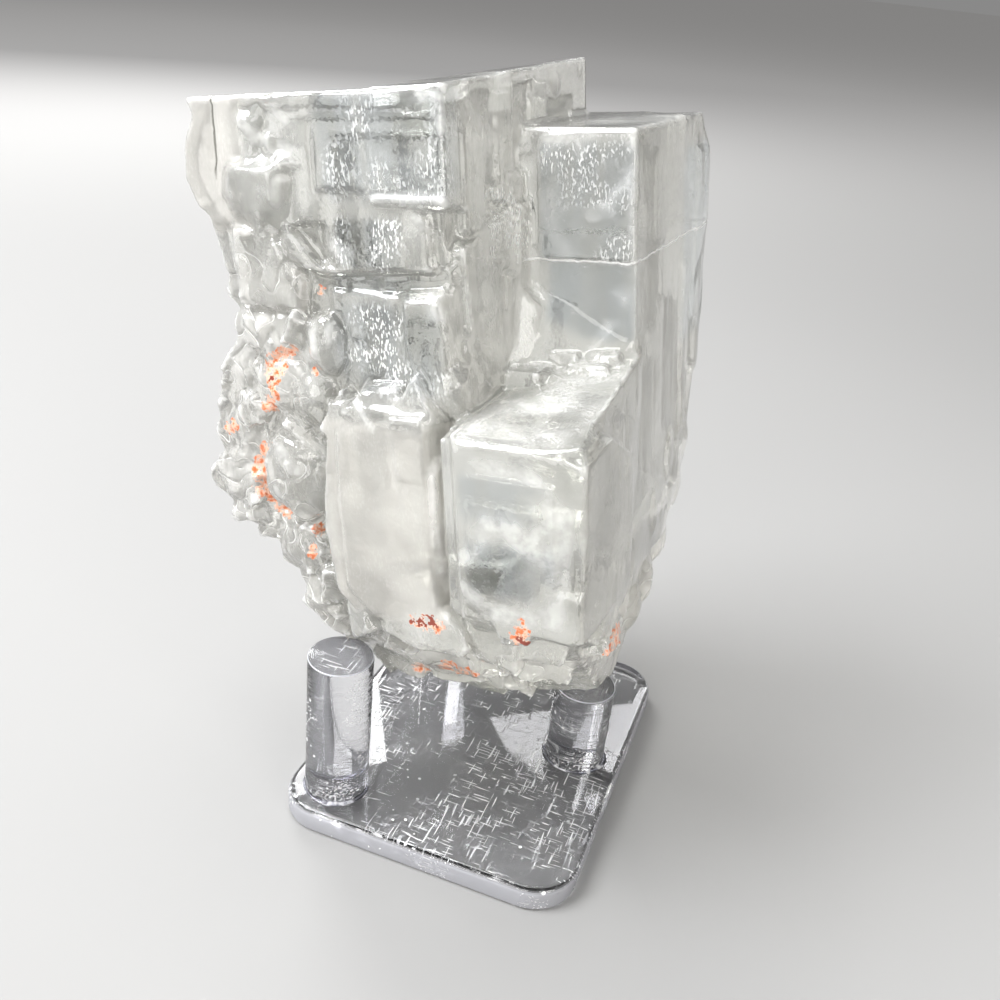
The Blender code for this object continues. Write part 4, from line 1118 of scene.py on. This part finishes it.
def open_crack(n, s):
    """A thin dark line, upright in the leaf of the tall crystal."""
    lean = n.math("MULTIPLY_ADD", n.axis(s.place, "Z"), LEAF_CRACK_LEAN, LEAF_CRACK_FOOT)
    course = n.math("MULTIPLY_ADD", s.patch, 0.8, lean)
    gap = n.math("ABSOLUTE", n.math("SUBTRACT", n.axis(s.place, "X"), course))
    return n.times(n.ramp(gap, 0.12, 0.30, 1.0, 0.0), n.value("leaf_crack"))


def spotted(n, area, noise, low, high):
    """Flecks of the noise inside a painted area, thinning out towards its edge."""
    lifted = n.math("ADD", noise, n.times(n.math("SUBTRACT", area, 0.6), 0.22))
    return n.math("MULTIPLY", n.ramp(lifted, low, high), n.ramp(area, 0.02, 0.25), clamp=True)


def crystal_patterns(n):
    """The noises that the crystal's look is mixed from."""
    place = n.crystal_place()
    upright = n.crystal_place(stretch=(1.0, 1.0, 0.14))
    slanted = n.crystal_place(stretch=(1.0, 1.0, 0.34), turn=(0.0, 0.5, 0.0))
    crossed = n.crystal_place(stretch=(1.0, 1.0, 0.40), turn=(0.0, -0.35, 0.0))
    return SimpleNamespace(
        place=place,
        cloud=n.noise(place, 0.07, detail=2.0),
        patch=n.noise(place, 0.30, detail=3.0, roughness=0.6),
        dense=n.noise(place, 0.14),
        grain=n.noise(place, 0.9, detail=2.0, roughness=0.75),
        worn=n.math("ABSOLUTE", n.math("SUBTRACT", n.noise(place, 0.24), 0.5)),
        streak=n.noise(upright, 0.40),
        etch=n.noise(slanted, 2.1, detail=2.0, roughness=0.7),
        glints=n.noise(crossed, 2.6),
    )


def crystal_white(n, s):
    """Veils, etched specks, the healed crack, painted highlights along ridges, and worn seams, all of them
    white.
    """
    veil = n.times(n.value("veil"), n.ramp(s.patch, 0.34, 0.62, 0.35, 1.0), 0.8)
    specks = n.most(n.ramp(s.etch, 0.56, 0.62), n.ramp(s.glints, 0.62, 0.68))
    specks = n.times(specks, n.value("etch"), n.ramp(s.dense, 0.36, 0.62, 0.1, 1.0))
    # painted highlight: white along the ridges
    edges = n.times(n.value("ridge"), n.ramp(s.patch, 0.35, 0.6, 0.15, 0.75))
    seams = n.times(n.ramp(s.worn, 0.0, 0.018, 0.8, 0.0), n.ramp(s.patch, 0.40, 0.56))
    return n.most(veil, specks, healed_crack(n, s), edges, n.times(seams, n.value("ragged")))


def crystal_color(n, s, white, stain, dark):
    """The crystal's colour, each layer laid over the ones before it."""
    color = n.blend(n.value("milky"), COOL, MILKY)
    for share, layer in (
        # painted shade: the clear windows darkened to the dark seen through them
        (n.times(n.value("clear"), 0.9), SEEN_THROUGH_SHADE),
        (n.ramp(s.streak, 0.45, 0.65, 0.0, 0.3), STREAK),
        # painted shade: darker grey in the creases
        (n.times(n.value("crease_shade"), 0.4), CREASE_SHADE),
        (white, WHITE),
        (stain, n.blend(n.ramp(s.grain, 0.50, 0.64), PALE_RUST, DEEP_RUST)),
        (dark, DARK_STAIN),
        (n.times(open_crack(n, s), 0.9), OPEN_CRACK),
    ):
        color = n.blend(share, color, layer)
    return color


def crystal_clearness(n, milk, white, stain, dark):
    """How much light the crystal lets through: less in milk, veils and stains."""
    clearness = n.math("SUBTRACT", 0.86, n.times(milk, 0.12))
    clearness = n.math("SUBTRACT", clearness, n.times(n.value("milky"), 0.22))
    clearness = n.math("ADD", clearness, n.times(n.value("clear"), 0.14), clamp=True)
    solid = n.most(n.times(white, 0.7), n.times(stain, 0.8), dark)
    return n.math("MULTIPLY", clearness, n.math("SUBTRACT", 1.0, n.times(solid, 0.9)), clamp=True)


def crystal_roughness(n, milk, white):
    rough = n.math("MULTIPLY_ADD", n.value("milky"), 0.08, n.ramp(milk, 0.0, 1.0, 0.09, 0.17))
    rough = n.math("SUBTRACT", rough, n.times(n.value("clear"), 0.03))
    return n.math("ADD", rough, n.times(white, 0.2), clamp=True)


def crystal_look():
    n = Nodes("clear to milky fluorite")
    s = crystal_patterns(n)
    milk = n.ramp(s.cloud, 0.38, 0.66)
    white = crystal_white(n, s)
    stain = spotted(n, n.value("stain"), s.grain, 0.43, 0.56)
    dark = spotted(n, n.value("dark_stain"), s.grain, 0.46, 0.50)
    facets = n.times(n.ramp(s.worn, 0.0, 0.10), n.value("ragged"))
    waves = n.bump(n.math("MULTIPLY_ADD", facets, 1.6, s.patch), 0.0006, 0.3)
    n.feed(n.shader, {
        "Base Color": crystal_color(n, s, white, stain, dark),
        "Transmission Weight": crystal_clearness(n, milk, white, stain, dark),
        "Roughness": crystal_roughness(n, milk, white),
        "IOR": FLUORITE_IOR,
        "Normal": waves,
        "Coat Normal": waves,
        "Coat Weight": 0.7,
        "Coat Roughness": 0.03,
        "Coat IOR": 1.4,
    })
    n.absorb(*CRYSTAL_DEPTH)
    return n.material


def acrylic_marks(n):
    """Dust, and fine scratches that lie in two directions."""
    place = n.place()
    one_way = n.place(stretch=(1.0, 0.08, 1.0), turn=(0.0, 0.0, 0.6))
    other_way = n.place(stretch=(0.10, 1.0, 1.0), turn=(0.0, 0.0, 0.35))
    specks = n.new("TexVoronoi", {"Vector": place, "Scale": 0.36}, feature="F1")
    size = n.ramp(n.noise(place, 0.6), 0.46, 0.70, 0.0, 0.15)
    dust = n.math("LESS_THAN", specks.outputs["Distance"], size)
    scratches = n.ramp(n.most(n.noise(one_way, 2.2), n.noise(other_way, 2.6)), 0.65, 0.73)
    area = n.ramp(n.noise(place, 0.10, detail=1.0), 0.46, 0.58)
    return n.most(dust, n.times(scratches, area, 0.6))


def finish_acrylic(n, frost):
    """Clear acrylic with its marks in white and its frosted stretches in a soft lavender."""
    marks = acrylic_marks(n)
    color = n.blend(frost, ACRYLIC, FROST)
    solid = n.most(n.times(marks, 0.85), n.times(frost, 0.45))
    rough = n.most(n.times(frost, 0.28), n.times(marks, 0.5))
    n.feed(n.shader, {
        "Base Color": n.blend(marks, color, DUST),
        "Transmission Weight": n.math("SUBTRACT", 1.0, solid, clamp=True),
        "Roughness": n.math("ADD", rough, 0.02, clamp=True),
        "IOR": ACRYLIC_IOR,
    })
    n.absorb(*ACRYLIC_DEPTH)
    return n.material


def plate_look():
    """The plate's cut edge is a little frosted, and its faces are clear."""
    n = Nodes("clear plate")
    edge = n.ramp(n.math("ABSOLUTE", n.facing_up()), 0.25, 0.85, 1.0, 0.0)
    return finish_acrylic(n, n.times(edge, 0.9))


def peg_look():
    """The pegs' ends are sawn: faint arcs on top, and a bright turned rim."""
    n = Nodes("clear peg")
    up = n.facing_up()
    top = n.ramp(up, 0.85, 0.99)
    rim = n.times(n.ramp(up, 0.15, 0.4), n.math("SUBTRACT", 1.0, top))
    level = n.place(stretch=(1.0, 1.0, 0.0))
    waves = {"Vector": level, "Scale": 0.9, "Distortion": 2.0}
    arcs = n.new("TexWave", waves, wave_type="RINGS", rings_direction="Z").outputs["Fac"]
    sawn = n.times(n.math("MULTIPLY_ADD", arcs, 0.35, 0.15), top)
    turned = n.noise(n.place(stretch=(0.02, 0.02, 1.0)), 3.2, detail=1.0)
    rings = n.times(n.ramp(turned, 0.5, 0.7), 0.10)
    height = n.math("ADD", n.times(sawn, 0.8), rings)
    n.feed(n.shader, {"Normal": n.bump(height, 0.0002, 0.5)})
    return finish_acrylic(n, n.most(sawn, rings, rim))


def glue_look():
    """A thin, blotchy film of clear glue."""
    n = Nodes("clear glue")
    blotch = n.ramp(n.noise(n.place(), 0.35, detail=3.0), 0.46, 0.62)
    n.feed(n.shader, {
        "Base Color": n.blend(blotch, GLUE_FILM, GLUE_BLOTCH),
        "Transmission Weight": n.math("SUBTRACT", 0.95, n.times(blotch, 0.55)),
        "Roughness": 0.12,
        "IOR": GLUE_IOR,
    })
    return n.material


def floor_look():
    """Pale card, a little paler far out, where less of the light reaches it."""
    n = Nodes("pale floor")
    reach = n.new("VectorMath", {0: n.object_place()}, operation="LENGTH").outputs["Value"]
    n.feed(n.shader, {
        "Base Color": n.blend(n.ramp(reach, 0.35, 1.8), FLOOR_NEAR, FLOOR_FAR),
        "Roughness": 0.85,
        "Specular IOR Level": 0.0,
    })
    return n.material


# ---------------------------------------------------------------- pieces


def finish_piece(obj, look, slot, *nodes):
    obj.data.materials.clear()
    obj.data.materials.append(look)
    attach(obj, "root")
    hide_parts(*nodes)


def build_crystals():
    mesh = bare_crystals()
    relief(mesh)
    mesh.transform(crystal_frame())
    crystals = add_object("crystal_cluster", mesh)
    thin_out(crystals)
    cut_peg_clearance(crystals)
    paint(crystals.data)
    crystals.data.shade_smooth()
    finish_piece(crystals, crystal_look(), "fluorite", "fluorite_cluster")


def rounded_outline(size_x, size_y, radius, steps):
    """A rectangle with round corners, around the origin."""
    points = []
    for quarter, (side_x, side_y) in enumerate(((1, 1), (-1, 1), (-1, -1), (1, -1))):
        centre = (side_x * (size_x / 2 - radius), side_y * (size_y / 2 - radius))
        for step in range(steps + 1):
            angle = math.radians(90 * quarter + 90 * step / steps)
            place = (centre[0] + radius * math.cos(angle), centre[1] + radius * math.sin(angle))
            points.append(place)
    return points


def round_edges(bm, edges, radius, segments, profile=0.5):
    bmesh.ops.bevel(
        bm, geom=edges, offset=radius * MM, segments=segments, profile=profile, affect="EDGES",
    )


def shade(mesh, sharp_angle):
    """Smooth, with the edges that bend more than the angle left sharp."""
    mesh.shade_smooth()
    mesh.set_sharp_from_angle(angle=math.radians(sharp_angle))


def build_plate():
    size_x, size_y, size_z = (side * MM for side in PLATE_SIZE)
    bm = bmesh.new()
    outline = rounded_outline(size_x, size_y, PLATE_CORNER * MM, 24)
    base = bm.faces.new([bm.verts.new((x, y, 0.0)) for x, y in outline])
    raised = bmesh.ops.extrude_face_region(bm, geom=[base])["geom"]
    top = [item for item in raised if isinstance(item, bmesh.types.BMVert)]
    bmesh.ops.translate(bm, verts=top, vec=(0.0, 0.0, size_z))
    bmesh.ops.recalc_face_normals(bm, faces=bm.faces)
    upper = [edge for edge in bm.edges if all(vert in top for vert in edge.verts)]
    lower = [edge for edge in bm.edges if not any(vert in top for vert in edge.verts)]
    round_edges(bm, lower, PLATE_FOOT_ROUND, 3)
    round_edges(bm, upper, PLATE_TOP_ROUND, 8)
    plate = from_bmesh("clear_plate", bm)
    shade(plate.data, 40)
    finish_piece(plate, plate_look(), "acrylic_plate", "base_plate")


def build_pegs():
    look = peg_look()
    glue = glue_look()
    for name, (x, y, top) in PEGS.items():
        foot = PLATE_SIZE[2] - GLUE_DEPTH
        bm = cylinder(PEG_RADIUS, top - foot)
        rim = [e for e in bm.edges if all(v.co.z > (top - foot - HAIR) * MM for v in e.verts)]
        round_edges(bm, rim, PEG_CHAMFER, 3, profile=0.6)
        peg = from_bmesh("clear_" + name, bm)
        shade(peg.data, 30)
        peg.location = (x * MM, y * MM, foot * MM)
        finish_piece(peg, look, "acrylic_peg", name)
        build_glue(name, x, y, glue)


def build_glue(name, x, y, look):
    """The uneven bead of glue squeezed out round a peg's foot."""
    profile = []
    for step in range(GLUE_STEPS + 1):
        angle = math.radians(90 * step / GLUE_STEPS)
        inward, upward = 1 - math.sin(angle), 1 - math.cos(angle)
        profile.append((PEG_RADIUS + GLUE_BEAD * inward, GLUE_BEAD * upward))
    profile.append((PEG_RADIUS + HAIR, 0.0))
    bm = bmesh.new()
    rings = []
    for side in range(PEG_SIDES):
        turn = 2 * math.pi * side / PEG_SIDES
        uneven = 1 + 0.35 * math.sin(2 * turn + x) + 0.2 * math.sin(5 * turn + y)
        ring = []
        for radius, height in profile:
            out = PEG_RADIUS + HAIR + (radius - PEG_RADIUS) * uneven
            level = PLATE_SIZE[2] + HAIR + height * uneven
            place = (x + out * math.cos(turn), y + out * math.sin(turn), level)
            ring.append(bm.verts.new(Vector(place) * MM))
        rings.append(ring)
    for ring, after in zip(rings, rings[1:] + rings[:1]):
        for index in range(len(ring)):
            step = (index + 1) % len(ring)
            bm.faces.new((ring[index], ring[step], after[step], after[index]))
    bmesh.ops.recalc_face_normals(bm, faces=bm.faces)
    bead = from_bmesh("glue_" + name, bm)
    bead.data.shade_smooth()
    bead.data.materials.append(look)
    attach(bead, "root")


# ---------------------------------------------------------------- stage

# Place in millimetres, angles in degrees, focal length in millimetres
CAMERA_PLACE = (51.44, -173.52, 159.3)
CAMERA_PITCH = 28.11
CAMERA_YAW = 17.25
CAMERA_ROLL = 6.45
CAMERA_LENS = 37.44
SENSOR_WIDTH = 36
NEAREST_SEEN = 0.01
# half the floor's side, in metres
FLOOR_REACH = 12.0
SKY = (0.84, 0.835, 0.83, 1.0)
SKY_STRENGTH = 0.30
LIGHT_TARGET = Vector((0.0, 0.0, 0.07))
LIGHTS = (
    # name, place in metres, size, power, tint
    ("window", (-0.50, -0.30, 0.70), 0.45, 11.0, (0.97, 0.98, 1.0)),
    ("overhead", (-0.20, 0.02, 0.90), 0.6, 8.0, (1.0, 1.0, 1.0)),
    ("fill", (0.75, -0.55, 0.35), 0.5, 4.0, (1.0, 0.98, 0.95)),
    ("front", (-0.10, -0.90, 0.40), 0.6, 4.0, (1.0, 0.99, 0.97)),
    ("behind", (-0.55, 0.60, 0.60), 0.4, 7.0, (1.0, 1.0, 1.0)),
)
GLASS_BOUNCES = 6
DIFFUSE_BOUNCES = 1
GLOSSY_BOUNCES = 2


def build_camera():
    pitch, yaw, roll = radians((CAMERA_PITCH, CAMERA_YAW, CAMERA_ROLL))
    flat = math.cos(pitch)
    forward = Vector((-math.sin(yaw) * flat, math.cos(yaw) * flat, -math.sin(pitch)))
    level = Vector((math.cos(yaw), math.sin(yaw), 0.0))
    rise = level.cross(forward)
    right = math.cos(roll) * level + math.sin(roll) * rise
    up = math.cos(roll) * rise - math.sin(roll) * level
    turn = Matrix((right, up, -forward)).transposed().to_4x4()
    camera = add_object("camera", bpy.data.cameras.new("camera"))
    camera.matrix_world = Matrix.Translation(Vector(CAMERA_PLACE) * MM) @ turn
    camera.data.sensor_width = SENSOR_WIDTH
    camera.data.lens = CAMERA_LENS
    camera.data.clip_start = NEAREST_SEEN
    bpy.context.scene.camera = camera


def build_floor():
    bm = bmesh.new()
    bmesh.ops.create_grid(bm, x_segments=1, y_segments=1, size=FLOOR_REACH)
    floor = from_bmesh("floor", bm)
    floor.data.materials.append(floor_look())
    floor.location.z = -FLOOR_GAP * MM


def build_lights():
    for name, place, size, power, tint in LIGHTS:
        lamp = bpy.data.lights.new(name, "AREA")
        lamp.energy = power
        lamp.size = size
        lamp.color = tint
        light = add_object(name, lamp)
        light.location = place
        way = LIGHT_TARGET - Vector(place)
        light.rotation_euler = way.to_track_quat("-Z", "Y").to_euler()


def build_sky():
    world = bpy.data.worlds.new("studio")
    bpy.context.scene.world = world
    world.use_nodes = True
    back = world.node_tree.nodes["Background"]
    back.inputs["Color"].default_value = SKY
    back.inputs["Strength"].default_value = SKY_STRENGTH


def set_light_paths():
    bpy.context.scene.view_settings.view_transform = "Standard"
    paths = bpy.context.scene.cycles
    paths.max_bounces = paths.transmission_bounces = GLASS_BOUNCES
    paths.diffuse_bounces = DIFFUSE_BOUNCES
    paths.glossy_bounces = GLOSSY_BOUNCES


build_camera()
build_floor()
build_lights()
build_sky()
set_light_paths()
build_plate()
build_pegs()
build_crystals()
